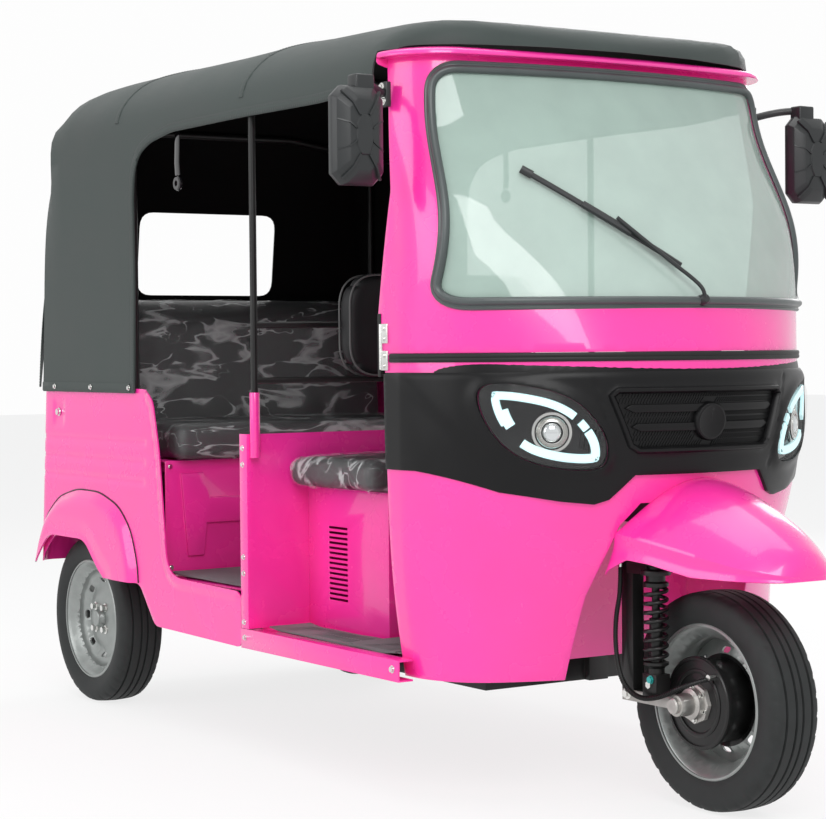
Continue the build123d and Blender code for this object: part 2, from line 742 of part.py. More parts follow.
# Door hinge plates on the posts
with BuildPart() as hinge_plates:
    for side in (-1, 1):
        for low in (990, 1052):
            add(block((min(side * (half_width - 2), side * (half_width + 6)), 500, low),
                      (max(side * (half_width - 2), side * (half_width + 6)), 532, low + 46)))
    add(front_body(SCREEN_ROWS, -face_gap, screen_back), mode=Mode.SUBTRACT)
    add(front_body(COWL_ROWS, -face_gap, post_back), mode=Mode.SUBTRACT)
hinge_plates.part.label = "hinge_plates"
export_step(hinge_plates.part, "parts/hinge_plates.step")

# Canopy: fabric skin over bows, drawn over the header in front and fastened to the side sheets.
# The outer form is where the side view, the front view and the plan meet.
canopy_wall = 6
canopy_front = 330
canopy_lap = 8
canopy_back_low = tub_back + canopy_lap + 3
canopy_hem = tub_top - 12
canopy_half = half_width + canopy_lap
CANOPY_TOP = [(canopy_front, 1752), (430, 1792), (590, 1808), (960, 1828), (1200, 1852), (1421, 1842),
              (1653, 1848), (1982, 1876), (2125, 1870), (2250, 1826), (2330, 1754), (2400, 1620),
              (canopy_back_low, canopy_hem)]
roof_shoulder = 130


def canopy_body(inset, hem):
    """Solid of the canopy's outer form, drawn in by inset."""
    x = canopy_half - inset
    with BuildPart() as cover:
        points = [(station + (inset if station < 500 else 0), z - inset) for station, z in CANOPY_TOP[:-3]]
        points += [(station - inset, z) for station, z in CANOPY_TOP[-3:-1]]
        points += [(canopy_back_low - inset, hem), (canopy_front + inset, hem)]
        add(side_prism(points, -700, 700))
        with BuildSketch(Plane.XZ.offset(-behind(3000))):
            with BuildLine():
                Line((-x, hem - 1), (-x, 1640))
                ThreePointArc((-x, 1640), (-x + 45, 1760 - inset), (-x + roof_shoulder, 1812 - inset))
                ThreePointArc((-x + roof_shoulder, 1812 - inset), (0, 1882 - inset),
                              (x - roof_shoulder, 1812 - inset))
                ThreePointArc((x - roof_shoulder, 1812 - inset), (x - 45, 1760 - inset), (x, 1640))
                Line((x, 1640), (x, hem - 1))
                Line((x, hem - 1), (-x, hem - 1))
            make_face()
        extrude(amount=3000, mode=Mode.INTERSECT)
        radius = rear_corner + canopy_lap - inset
        corner_y = canopy_back_low - inset - radius
        # Plan: a bowed front edge and rear corners rounded in three steps
        half_plan = [(0, canopy_front + inset), (220, canopy_front + 18 + inset),
                     (410 - inset / 2, canopy_front + 70 + inset), (x, 540)]
        half_plan += [(x - radius + radius * cos(radians(turn)), corner_y + radius * sin(radians(turn)))
                      for turn in (0, 30, 60, 90)]
        outline = half_plan + [(-px, station) for px, station in reversed(half_plan) if px > 0]
        with BuildSketch(Plane.XY.offset(hem - 1)):
            with BuildLine():
                Polyline(*[(px, behind(station)) for px, station in outline], close=True)
            make_face()
        extrude(amount=1000, mode=Mode.INTERSECT)
    return cover.part


SIDE_OPENING = [(200, 900), (1804, 900), (1804, 1500), (1770, 1566), (1700, 1606), (1564, 1626),
                (1169, 1628), (678, 1622), (560, 1650), (520, 1716), (200, 1716)]
window_half = 240
window_low = 1215
window_high = 1470
window_corner = 44
with BuildPart() as canopy:
    add(canopy_body(0, canopy_hem))
    add(canopy_body(canopy_wall, canopy_hem - 20), mode=Mode.SUBTRACT)
    add(side_prism(SIDE_OPENING, -700, 700), mode=Mode.SUBTRACT)
    # The front is closed by the header and the windscreen
    add(block((-700, 200, 800), (700, 700, header_height + brim_height + face_gap)), mode=Mode.SUBTRACT)
    with BuildSketch(Plane.XZ.offset(-behind(3000))):
        with Locations((0, (window_low + window_high) / 2)):
            RectangleRounded(window_half * 2, window_high - window_low, window_corner)
    extrude(amount=1000, mode=Mode.SUBTRACT)
canopy.part.label = "canopy"
export_step(canopy.part, "parts/canopy.step")

# Canopy frame: three hoops and two side rails
bow_x = half_width - panel - bow_radius - face_gap
bow_bend = 60
bow_back = 2330
bow_foot = tub_top - 180
with BuildPart() as canopy_frame:
    # Columns: station of the hoop, height where it starts, then of its corner, shoulder and crown
    for station, foot, corner, shoulder, crown in [(pole_station, canopy_rail_height, 1690, 1785, 1824),
                                                   (1840, bow_foot, 1690, 1785, 1838),
                                                   (bow_back, bow_foot, 1600, 1676, 1704)]:
        add(tube_along([(-bow_x, station, foot), (-bow_x, station, corner), (-440, station, shoulder),
                        (-250, station, crown), (250, station, crown), (440, station, shoulder),
                        (bow_x, station, corner), (bow_x, station, foot)], bow_radius, bow_bend))
    for side in (-1, 1):
        add(tube_along([(side * bow_x, 560, canopy_rail_height),
                        (side * bow_x, bow_back + 4, canopy_rail_height)],
                       rail_tube_radius))
canopy_frame.part.label = "canopy_frame"
export_step(canopy_frame.part, "parts/canopy_frame.step")

# Grab handles that hang from the side rails by the passengers' door openings
with BuildPart() as grab_handles:
    for side in (-1, 1):
        x = side * (bow_x - 2)
        add(block((x - 4, 1560, 1490), (x + 4, 1584, canopy_rail_height - bow_radius - face_gap)))
        with BuildSketch(Plane.YZ.offset(x - 7)):
            with Locations((behind(1572), 1490)):
                Circle(20)
                Circle(9, mode=Mode.SUBTRACT)
        extrude(amount=14)
grab_handles.part.label = "grab_handles"
export_step(grab_handles.part, "parts/grab_handles.step")

# Tail lamps on the rear panel
with BuildPart() as tail_lamps:
    for side in (-1, 1):
        with BuildPart(mode=Mode.PRIVATE) as lamp:
            add(block((side * 440 - 42, tub_back - 40, 700), (side * 440 + 42, tub_back + 60, 830)))
            fillet(lamp.edges().filter_by(Axis.Y), 16)
            add(tub_body(-28), mode=Mode.INTERSECT)
            add(tub_body(-face_gap), mode=Mode.SUBTRACT)
        add(lamp.part)
tail_lamps.part.label = "tail_lamps"
export_step(tail_lamps.part, "parts/tail_lamps.step")

# Rear axle: tube, motor with its gear case, and two leaf springs under the rails
axle_radius = 30
plate_inner = 345
plate_wall = 10
spring_width = 50
hanger_drop = rail_bottom + kick_rise
with BuildPart() as rear_axle:
    with BuildSketch(Plane.YZ.offset(-plate_inner)):
        with Locations((rear_axle_y, tyre_radius)):
            Circle(axle_radius)
    extrude(amount=2 * plate_inner)
    with BuildSketch(Plane.YZ.offset(-60)):
        with Locations((rear_axle_y, tyre_radius)):
            Circle(96)
    extrude(amount=120)
    with BuildSketch(Plane.XZ.offset(-behind(wheelbase - 60))):
        with Locations((0, tyre_radius + 20)):
            Circle(78)
    extrude(amount=250)
    for side in (-1, 1):
        with BuildSketch(Plane.YZ.offset(side * plate_inner)):
            with Locations((rear_axle_y, tyre_radius)):
                Circle(backing_radius)
        extrude(amount=side * plate_wall)
        x = side * rail_x
        for low, high, reach in [(286, 294, 240), (294, 302, 180), (302, 310, 110)]:
            add(block((x - spring_width / 2, wheelbase - reach, low),
                      (x + spring_width / 2, wheelbase + min(reach, 178), high)))
        add(block((x - 30, wheelbase - 34, 262), (x + 30, wheelbase + 34, 318)))
        add(block((x - 22, wheelbase - 250, 280), (x + 22, wheelbase - 222, hanger_drop)))
        add(block((x - 22, wheelbase + 152, 280), (x + 22, wheelbase + 180, hanger_drop)))
rear_axle.part.label = "rear_axle"
export_step(rear_axle.part, "parts/rear_axle.step")

# Steering stem and leg: a stem through the head tube, a crown over the wheel and one leg beside
# it that ends in the pivot of the leading link
leg_station = 172
leg_half = 16
crown_low = 528
crown_high = 572
pivot_station = 176
pivot_height = 292
stem_top = 1040
clamp_drop = 12
with BuildPart() as fork_leg:
    with BuildSketch(Plane(origin=steering_point(crown_low + 20), z_dir=steering_top)):
        Circle(stem_radius)
    extrude(amount=(stem_top - crown_low - 20) / cos(radians(steering_rake)))
    with BuildSketch(Plane(origin=steering_point(crown_high), z_dir=steering_top)):
        Circle(head_tube_radius)
    extrude(amount=(head_tube_low - crown_high) / cos(radians(steering_rake)) - 4)
    add(block((leg_x - 22, steering_station(550) - 32, crown_low),
              (30, steering_station(550) + 40, crown_high)))
    add(block((leg_x - leg_half, leg_station - 18, pivot_height - 30),
              (leg_x + leg_half, leg_station + 22, crown_high)))
    # Upper seat of the shock absorber in front of the leg
    with BuildSketch(Plane.XY.offset(crown_low)):
        with Locations((leg_x, behind(92))):
            Circle(34)
    extrude(amount=10)
    add(block((leg_x - 16, 92, crown_low), (leg_x + 16, leg_station, crown_low + 14)))
fork_leg.part.label = "fork_leg"
export_step(fork_leg.part, "parts/fork_leg.step")

with BuildPart() as handlebar:
    top = steering_station(stem_top)
    add(tube_along([(-330, top + 110, stem_top + 60), (-190, top + 70, stem_top + 60),
                    (-60, top, stem_top + 10), (60, top, stem_top + 10),
                    (190, top + 70, stem_top + 60), (330, top + 110, stem_top + 60)], 11, 40))
    for side in (-1, 1):
        add(tube_along([(side * 215, top + 77.143, stem_top + 60),
                        (side * 340, top + 112.857, stem_top + 60)], 17))
    add(block((-34, top - 30, stem_top - clamp_drop), (34, top + 30, stem_top + 22)))
    with BuildSketch(Plane(origin=steering_point(stem_top - 80), z_dir=steering_top)):
        Circle(stem_radius + face_gap)
    extrude(amount=80 / cos(radians(steering_rake)) + face_gap, mode=Mode.SUBTRACT)
handlebar.part.label = "handlebar"
export_step(handlebar.part, "parts/handlebar.step")

# Shock absorber: spring coils over a damper, between the leg's seat and the link
shock_station = 92
shock_low = 306
shock_high = crown_low
coil_pitch = 19
with BuildPart() as shock_absorber:
    with BuildSketch(Plane.XY.offset(shock_low)):
        with Locations((leg_x, behind(shock_station))):
            Circle(21)
    extrude(amount=shock_high - shock_low)
    for index in range(10):
        with BuildSketch(Plane.XY.offset(shock_low + 30 + index * coil_pitch)):
            with Locations((leg_x, behind(shock_station))):
                Circle(29)
        extrude(amount=8)
shock_absorber.part.label = "shock_absorber"
export_step(shock_absorber.part, "parts/shock_absorber.step")

# Leading link: from the leg's pivot forward to the axle block, with the brake's backing plate
link_x = leg_x
plate_x = -76
with BuildPart() as axle_link:
    add(block((link_x - 14, -22, 236), (link_x + 14, pivot_station + 20, 261.7)))
    add(block((link_x - 20, shock_station - 24, 255), (link_x + 20, shock_station + 24, shock_low)))
    with BuildSketch(Plane.YZ.offset(link_x - 22)):
        with Locations((front_axle_y, tyre_radius)):
            Circle(24)
    extrude(amount=plate_x - link_x + 22)
    with BuildSketch(Plane.YZ.offset(plate_x - 10)):
        with Locations((front_axle_y, tyre_radius)):
            RegularPolygon(46, 8)
    extrude(amount=10)
    with BuildSketch(Plane.YZ.offset(plate_x)):
        with Locations((front_axle_y, tyre_radius)):
            Circle(backing_radius)
    extrude(amount=plate_wall)
axle_link.part.label = "axle_link"
export_step(axle_link.part, "parts/axle_link.step")

# Brake hose: clipped to the leg and led to the backing plate in one loop
hose_radius = 6
hose_x = leg_x - leg_half - hose_radius - face_gap
HOSE_ROUTE = [(hose_x, 190, 560), (hose_x, 188, 490), (hose_x - 8, 200, 420), (hose_x - 10, 196, 340),
              (hose_x - 11, 172, 276), (hose_x - 12, 112, 248), (hose_x - 10, 36, 262),
              (hose_x - 4, -34, 296), (plate_x - face_gap, -60, 312)]
with BuildPart() as brake_hose:
    add(tube_along(HOSE_ROUTE, hose_radius, 18))
    add(block((plate_x - face_gap, -100, 280), (plate_x + 20, 0, 340)), mode=Mode.SUBTRACT)
brake_hose.part.label = "brake_hose"
export_step(brake_hose.part, "parts/brake_hose.step")


def wheel_ring(points, centre):
    """Solid of revolution about a wheel's axle from a profile of offset and radius."""
    with BuildPart() as ring:
        with BuildSketch(Plane(origin=centre, x_dir=(1, 0, 0), z_dir=(0, -1, 0))):
            with BuildLine():
                Polyline(*points, close=True)
            make_face()
        revolve(axis=Axis(centre, (1, 0, 0)))
    return ring.part


half_tread = tyre_width / 2
TYRE_PROFILE = [
    (-52, bead_radius), (-62, bead_radius + 14), (-half_tread, bead_radius + 40), (-64, tyre_radius - 14),
    (-50, tyre_radius - 3), (0, tyre_radius), (50, tyre_radius - 3), (64, tyre_radius - 14),
    (half_tread, bead_radius + 40), (62, bead_radius + 14), (52, bead_radius),
]
# Rim section from one flange to the other: offset and radius of the outer surface
RIM_OUTLINE = [(-56, 172), (-52, bead_radius - face_gap), (-40, 160), (-24, 146), (24, 146), (40, 160),
               (52, bead_radius - face_gap), (56, 172)]
rear_drum_reach = rear_half_track - plate_inner - plate_wall - face_gap
# Columns: name, x of the wheel, y of its axle, outward direction, reach of the drum
WHEELS = [
    ("front", 0, front_axle_y, 1, -plate_x - plate_wall - face_gap),
    ("rear_left", rear_half_track, rear_axle_y, 1, rear_drum_reach),
    ("rear_right", -rear_half_track, rear_axle_y, -1, rear_drum_reach),
]
for wheel_name, wheel_x, wheel_y, outward, drum_reach in WHEELS:
    wheel_centre = Vector(wheel_x, wheel_y, tyre_radius)
    with BuildPart() as tyre:
        add(wheel_ring(TYRE_PROFILE, wheel_centre))
    tyre.part.label = wheel_name + "_tyre"
    export_step(tyre.part, f"parts/{wheel_name}_tyre.step")

    with BuildPart() as rim:
        inner_side = [(offset * 0.94, radius - rim_wall) for offset, radius in reversed(RIM_OUTLINE)]
        add(wheel_ring(RIM_OUTLINE + inner_side, wheel_centre))
        # Dished disc on the outward side, with a raised centre
        dish = [(26, 143), (20, 120), (8, 104), (16, 84), (22, 60), (22, 0), (17, 0), (17, 58),
                (11, 80), (3, 104), (15, 122), (21, 143)]
        add(wheel_ring([(outward * offset, radius) for offset, radius in dish], wheel_centre))
        # Drum behind the disc, out to its running gap at the backing plate
        add(wheel_ring([(outward * 17, 0), (outward * 17, 56), (outward * 4, drum_radius),
                        (-outward * drum_reach, drum_radius), (-outward * drum_reach, 0)], wheel_centre))
        # Hand holes
        with BuildSketch(Plane(origin=wheel_centre, x_dir=(0, 1, 0), z_dir=(1, 0, 0))):
            with PolarLocations(112, 8):
                SlotOverall(26, 13, rotation=90)
        extrude(amount=60 * outward, mode=Mode.SUBTRACT)
    rim.part.label = wheel_name + "_rim"
    export_step(rim.part, f"parts/{wheel_name}_rim.step")
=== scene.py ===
# %% [markdown]
# # Auto rickshaw
# The object is a three-wheeled passenger vehicle: a pink sheet-metal body, a black plastic mask
# with two lamps across the nose, a tall curved windscreen in a rubber seal, a dark vinyl canopy
# over bows, and open sides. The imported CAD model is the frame. Every piece below is built in the
# same place and rides on one of its bodies.

# %% Load the frame
import json
import math

import bmesh
import bpy
import numpy as np
from mathutils import Matrix, Vector
from mathutils.geometry import delaunay_2d_cdt

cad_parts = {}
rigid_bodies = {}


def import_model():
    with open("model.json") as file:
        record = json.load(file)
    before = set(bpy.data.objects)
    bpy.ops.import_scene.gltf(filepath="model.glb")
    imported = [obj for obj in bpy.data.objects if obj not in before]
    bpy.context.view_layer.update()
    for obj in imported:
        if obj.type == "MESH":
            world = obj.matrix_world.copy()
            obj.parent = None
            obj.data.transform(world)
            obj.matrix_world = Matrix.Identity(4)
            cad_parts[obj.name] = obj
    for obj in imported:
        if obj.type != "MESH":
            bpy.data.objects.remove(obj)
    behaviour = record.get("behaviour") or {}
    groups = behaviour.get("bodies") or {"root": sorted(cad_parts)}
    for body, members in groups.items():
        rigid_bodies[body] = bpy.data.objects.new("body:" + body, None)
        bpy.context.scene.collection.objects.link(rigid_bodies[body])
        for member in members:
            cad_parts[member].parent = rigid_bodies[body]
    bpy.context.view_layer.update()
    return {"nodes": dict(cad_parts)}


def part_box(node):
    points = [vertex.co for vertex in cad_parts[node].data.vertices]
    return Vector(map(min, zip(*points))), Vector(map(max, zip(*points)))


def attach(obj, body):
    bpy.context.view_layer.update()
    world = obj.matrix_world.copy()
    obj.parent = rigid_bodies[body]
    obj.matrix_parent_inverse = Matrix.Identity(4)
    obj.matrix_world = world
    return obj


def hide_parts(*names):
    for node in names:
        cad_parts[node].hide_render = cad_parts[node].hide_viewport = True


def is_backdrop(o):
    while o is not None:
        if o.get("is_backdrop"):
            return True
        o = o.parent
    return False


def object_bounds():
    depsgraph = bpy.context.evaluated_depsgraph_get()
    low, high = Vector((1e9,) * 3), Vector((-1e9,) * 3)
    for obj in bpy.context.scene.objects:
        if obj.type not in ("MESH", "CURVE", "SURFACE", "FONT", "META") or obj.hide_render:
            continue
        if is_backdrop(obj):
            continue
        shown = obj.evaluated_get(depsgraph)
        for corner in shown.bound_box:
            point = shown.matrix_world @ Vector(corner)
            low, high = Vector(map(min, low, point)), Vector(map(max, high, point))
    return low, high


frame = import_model()

# %% [markdown]
# ## One way to say where things are
# Stations are given in millimetres behind the front axle, so a helper turns
# x, station and height into metres in the frame. The axle's own place is read from the CAD
# tyre, which is safer than repeating a number.

# %% Places in millimetres
axle_low, axle_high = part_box("front_tyre")
front_axle = (axle_low.y + axle_high.y) / 2


def place(points):
    """Rows of x, station and height in millimetres as points of the frame in metres."""
    points = np.asarray(points, float) / 1000
    points[..., 1] += front_axle
    return points


def spline(knots, values, at):
    """Natural cubic curve through the values at the knots."""
    knots, values = np.asarray(knots, float), np.asarray(values, float)
    gaps = np.diff(knots)
    count = len(knots)
    system, right = np.eye(count), np.zeros(count)
    for i in range(1, count - 1):
        system[i, i - 1:i + 2] = gaps[i - 1], 2 * (gaps[i - 1] + gaps[i]), gaps[i]
        right[i] = 6 * ((values[i + 1] - values[i]) / gaps[i] - (values[i] - values[i - 1]) / gaps[i - 1])
    bend = np.linalg.solve(system, right)
    at = np.clip(np.asarray(at, float), knots[0], knots[-1])
    i = np.clip(np.searchsorted(knots, at) - 1, 0, count - 2)
    left, over, gap = at - knots[i], knots[i + 1] - at, gaps[i]
    return (bend[i] * over ** 3 + bend[i + 1] * left ** 3) / (6 * gap) \
        + (values[i] / gap - bend[i] * gap / 6) * over + (values[i + 1] / gap - bend[i + 1] * gap / 6) * left


print("front axle at y", round(front_axle, 4))

# %% [markdown]
# ## Making meshes
# Sheet metal, glass and plastic covers are all thin shells with an outline. The outline is
# filled flat with evenly spaced triangles, and the triangles are then laid on the curved
# surface. That keeps reflections smooth right up to the edge, which a boolean cut would not.

# %% Mesh helpers
smooth_limit = math.radians(38)
placed = []


def linked(name, data):
    """Object made from data and put in the scene."""
    made = bpy.data.objects.new(name, data)
    bpy.context.scene.collection.objects.link(made)
    return made


def new_object(name, points, faces, limit=smooth_limit):
    """Object with a mesh in metres, smooth where its faces meet at less than the limit."""
    mesh = bpy.data.meshes.new(name)
    mesh.from_pydata([tuple(p) for p in points], [], [tuple(int(i) for i in f) for f in faces])
    mesh.update()
    made = linked(name, mesh)
    smooth(made, limit)
    return made


def smooth(made, limit=smooth_limit):
    """Smooth shading with sharp edges above the limit."""
    made.data.shade_smooth()
    made.data.set_sharp_from_angle(angle=limit)
    return made


def outward(made):
    """Merges doubles and turns the faces of a closed piece outwards."""
    work = bmesh.new()
    work.from_mesh(made.data)
    bmesh.ops.remove_doubles(work, verts=work.verts, dist=2e-5)
    bmesh.ops.recalc_face_normals(work, faces=work.faces)
    work.to_mesh(made.data)
    work.free()
    return smooth(made)


def settle(made, limit=smooth_limit):
    """Applies what modifiers show, so that the piece is a plain mesh."""
    result = bpy.data.meshes.new_from_object(made.evaluated_get(bpy.context.evaluated_depsgraph_get()))
    made.modifiers.clear()
    made.data = result
    return smooth(made, limit)


def soften(made, width=1.2, segments=2, angle=42):
    """Rounds the edges of a piece by a width in millimetres."""
    bevel = made.modifiers.new("edge", "BEVEL")
    bevel.width = width / 1000
    bevel.segments = segments
    bevel.limit_method = "ANGLE"
    bevel.angle_limit = math.radians(angle)
    bevel.use_clamp_overlap = True
    return settle(made)


def finish_piece(made, body, material, replaces=()):
    """Gives a piece its material, its body and the CAD nodes that it stands for."""
    wanted = list(material) if isinstance(material, (list, tuple)) else [material]
    while len(made.data.materials) > len(wanted):
        made.data.materials.pop()
    for index, one in enumerate(wanted):
        if index < len(made.data.materials):
            made.data.materials[index] = one
        else:
            made.data.materials.append(one)
    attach(made, body)
    if replaces:
        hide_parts(*replaces)
    placed.append(made.name)
    return made


def join(name, parts):
    """One object from several, with their materials kept."""
    work, materials = bmesh.new(), []
    for part in parts:
        start = len(work.faces)
        work.from_mesh(part.data)
        work.faces.ensure_lookup_table()
        offset = []
        for one in part.data.materials:
            if one not in materials:
                materials.append(one)
            offset.append(materials.index(one))
        for face in work.faces[start:]:
            face.material_index = offset[face.material_index] if offset else 0
    mesh = bpy.data.meshes.new(name)
    work.to_mesh(mesh)
    work.free()
    for part in parts:
        bpy.data.objects.remove(part)
    for one in materials:
        mesh.materials.append(one)
    made = linked(name, mesh)
    return smooth(made)


def walk(points, step, closed=True):
    """Points every step along a broken line, with its corners kept."""
    points = [np.asarray(p, float) for p in points]
    pairs = zip(points, points[1:] + points[:1]) if closed else zip(points, points[1:])
    result = []
    for start, end in pairs:
        count = max(1, math.ceil(np.linalg.norm(end - start) / step))
        result += [start + (end - start) * i / count for i in range(count)]
    return np.array(result if closed else result + [points[-1]])


def rounded(points, passes=3, closed=True):
    """Broken line with its corners cut away a few times."""
    points = np.asarray(points, float)
    for _ in range(passes):
        following = np.roll(points, -1, axis=0) if closed else points[1:]
        before = points if closed else points[:-1]
        cut = np.stack([before * 0.75 + following * 0.25, before * 0.25 + following * 0.75], 1).reshape(-1, 2)
        points = cut if closed else np.vstack([points[:1], cut, points[-1:]])
    return points


def within(outline, points):
    """True for each flat point that lies inside the closed outline."""
    outline, points = np.asarray(outline), np.asarray(points)
    inside = np.zeros(len(points), bool)
    for (ax, az), (bx, bz) in zip(outline, np.roll(outline, -1, axis=0)):
        crosses = (az > points[:, 1]) != (bz > points[:, 1])
        if az != bz:
            inside ^= crosses & (points[:, 0] < (bx - ax) * (points[:, 1] - az) / (bz - az) + ax)
    return inside


def fill(outline, holes=(), step=14, lines=()):
    """Flat points and triangles that fill an outline around its holes, with closer rows at some heights."""
    loops = [walk(loop, step) for loop in [outline, *holes]]
    points, edges = [], []
    for loop in loops:
        first = len(points)
        points += list(loop)
        edges += [(first + i, first + (i + 1) % len(loop)) for i in range(len(loop))]
    border = np.array(points)
    low, high = border.min(0), border.max(0)
    rows = np.arange(low[1] + step / 2, high[1], step * 0.87)
    close = np.array([height + offset for height in lines for offset in (-13, -9, -5, 0, 5, 9, 13)])
    if len(close):
        rows = np.sort(np.concatenate([[r for r in rows if np.min(np.abs(close - r)) > 5], close]))
    columns = np.arange(low[0] + step / 2, high[0], step)
    inner = np.array([(c + (step / 2) * (i % 2), r) for i, r in enumerate(rows) for c in columns])
    keep = within(loops[0], inner)
    for hole in loops[1:]:
        keep &= ~within(hole, inner)
    inner = inner[keep]
    near = np.array([np.min(np.sum((border - p) ** 2, 1)) for p in inner]) if len(inner) else np.array([])
    inner = inner[near > (0.55 * step) ** 2] if len(inner) else inner
    everything = np.vstack([border, inner]) if len(inner) else border
    found = delaunay_2d_cdt([Vector(p) for p in everything], edges, [], 0, 1e-5)
    flat = np.array([tuple(v) for v in found[0]])
    faces = [f for f in found[2]]
    middles = np.array([flat[list(f)].mean(0) for f in faces])
    good = within(loops[0], middles)
    for hole in loops[1:]:
        good &= ~within(hole, middles)
    return flat, [f for f, g in zip(faces, good) if g]


def shell(name, faces, outer, inner):
    """Closed shell between two layers of the same flat mesh, both given in metres."""
    outer, inner = np.asarray(outer), np.asarray(inner)
    tri = np.array([f[:3] for f in faces])
    normals = np.cross(outer[tri[:, 1]] - outer[tri[:, 0]], outer[tri[:, 2]] - outer[tri[:, 0]])
    if np.sum(normals * (outer - inner)[tri[:, 0]]) < 0:
        faces = [tuple(reversed(f)) for f in faces]
    count, directed = len(outer), {}
    for face in faces:
        for a, b in zip(face, tuple(face[1:]) + (face[0],)):
            directed[(a, b)] = True
    rim = [(a, b) for a, b in directed if (b, a) not in directed]
    everything = [tuple(f) for f in faces] + [tuple(i + count for i in reversed(f)) for f in faces]
    everything += [(b, a, a + count, b + count) for a, b in rim]
    made = new_object(name, np.vstack([outer, inner]), everything)
    work = bmesh.new()
    work.from_mesh(made.data)
    bmesh.ops.delete(work, geom=[v for v in work.verts if not v.link_faces], context="VERTS")
    work.to_mesh(made.data)
    work.free()
    return smooth(made)


def grid(name, rows, close_rows=False, close_columns=False, caps=False):
    """Mesh of quads through rows of points; rows or columns may close on themselves."""
    rows = np.asarray(rows)
    height, width = rows.shape[:2]
    faces = []
    for i in range(height if close_rows else height - 1):
        for j in range(width if close_columns else width - 1):
            faces.append((i * width + j, i * width + (j + 1) % width,
                          ((i + 1) % height) * width + (j + 1) % width, ((i + 1) % height) * width + j))
    if caps:
        faces.append(tuple(range(width)))
        faces.append(tuple((height - 1) * width + j for j in reversed(range(width))))
    return new_object(name, rows.reshape(-1, 3), faces)


def sweep(name, path, normals, profile, closed=False):
    """Bar along a path in metres; the profile gives side and outward offsets in millimetres."""
    path, normals = np.asarray(path, float), np.asarray(normals, float)
    if closed:
        tangent = np.roll(path, -1, axis=0) - np.roll(path, 1, axis=0)
    else:
        tangent = np.gradient(path, axis=0)
    tangent /= np.linalg.norm(tangent, axis=1)[:, None]
    normals = normals - tangent * np.sum(normals * tangent, 1)[:, None]
    normals /= np.linalg.norm(normals, axis=1)[:, None]
    side = np.cross(tangent, normals)
    rows = [p + np.outer([s for s, _ in profile], b) / 1000 + np.outer([o for _, o in profile], n) / 1000
            for p, n, b in zip(path, normals, side)]
    return outward(grid(name, rows, close_rows=closed, close_columns=True, caps=not closed))


def turned(name, profile, centre, axis=0, segments=64):
    """Piece of revolution. The profile gives offset and radius in millimetres about an axis."""
    centre = place(centre)
    others = [i for i in range(3) if i != axis]
    rows = []
    for turn in np.linspace(0, 2 * math.pi, segments, endpoint=False):
        ring = np.zeros((len(profile), 3)) + centre
        ring[:, axis] += np.array([p[0] for p in profile]) / 1000
        ring[:, others[0]] += np.array([p[1] for p in profile]) * math.cos(turn) / 1000
        ring[:, others[1]] += np.array([p[1] for p in profile]) * math.sin(turn) / 1000
        rows.append(ring)
    return outward(grid(name, rows, close_rows=True, close_columns=True))


def bar(name, points, radius, segments=12, order=3):
    """Round bar along a smooth line through points given as x, station and height."""
    curve = bpy.data.curves.new(name, "CURVE")
    curve.dimensions = "3D"
    curve.resolution_u = 10
    curve.bevel_depth = radius / 1000
    curve.bevel_resolution = segments // 4
    curve.use_fill_caps = True
    line = curve.splines.new("NURBS")
    line.points.add(len(points) - 1)
    for point, spot in zip(line.points, place(points)):
        point.co = (*spot, 1)
    line.use_endpoint_u = True
    line.order_u = min(order, len(points))
    holder = bpy.data.objects.new(name, curve)
    bpy.context.scene.collection.objects.link(holder)
    mesh = bpy.data.meshes.new_from_object(holder.evaluated_get(bpy.context.evaluated_depsgraph_get()))
    bpy.data.objects.remove(holder)
    made = linked(name, mesh)
    return outward(made)


def box(name, low, high, edge=1.5):
    """Block between two corners given as x, station and height, with softened edges."""
    (x0, y0, z0), (x1, y1, z1) = place(low), place(high)
    points = [(x, y, z) for x in sorted((x0, x1)) for y in sorted((y0, y1)) for z in sorted((z0, z1))]
    faces = [(0, 1, 3, 2), (4, 6, 7, 5), (0, 4, 5, 1), (2, 3, 7, 6), (0, 2, 6, 4), (1, 5, 7, 3)]
    return soften(new_object(name, points, faces), edge, 3)


def cad_copy(name, node, edge=0.8, angle=40):
    """Merged copy of a CAD node with softened edges."""
    mesh = frame["nodes"][node].data.copy()
    mesh.materials.clear()
    for index in range(len(mesh.polygons)):
        mesh.polygons[index].material_index = 0
    made = linked(name, mesh)
    work = bmesh.new()
    work.from_mesh(mesh)
    bmesh.ops.remove_doubles(work, verts=work.verts, dist=1e-5)
    bmesh.ops.dissolve_limit(work, angle_limit=math.radians(1.0), verts=work.verts, edges=work.edges)
    work.to_mesh(mesh)
    work.free()
    smooth(made, math.radians(angle))
    return soften(made, edge, 2, angle) if edge else made


print("mesh helpers ready")

# %% [markdown]
# ## Finishes
# The vehicle is made of a few materials: glossy pink paint, dark woven-backed vinyl, black
# moulded plastic, grey rubber, bare and painted steel, clear film and glass. Each one is a
# small node tree on object coordinates. The colour drifts a little, the roughness is uneven,
# and a fine bump gives the grain that the real surface has.

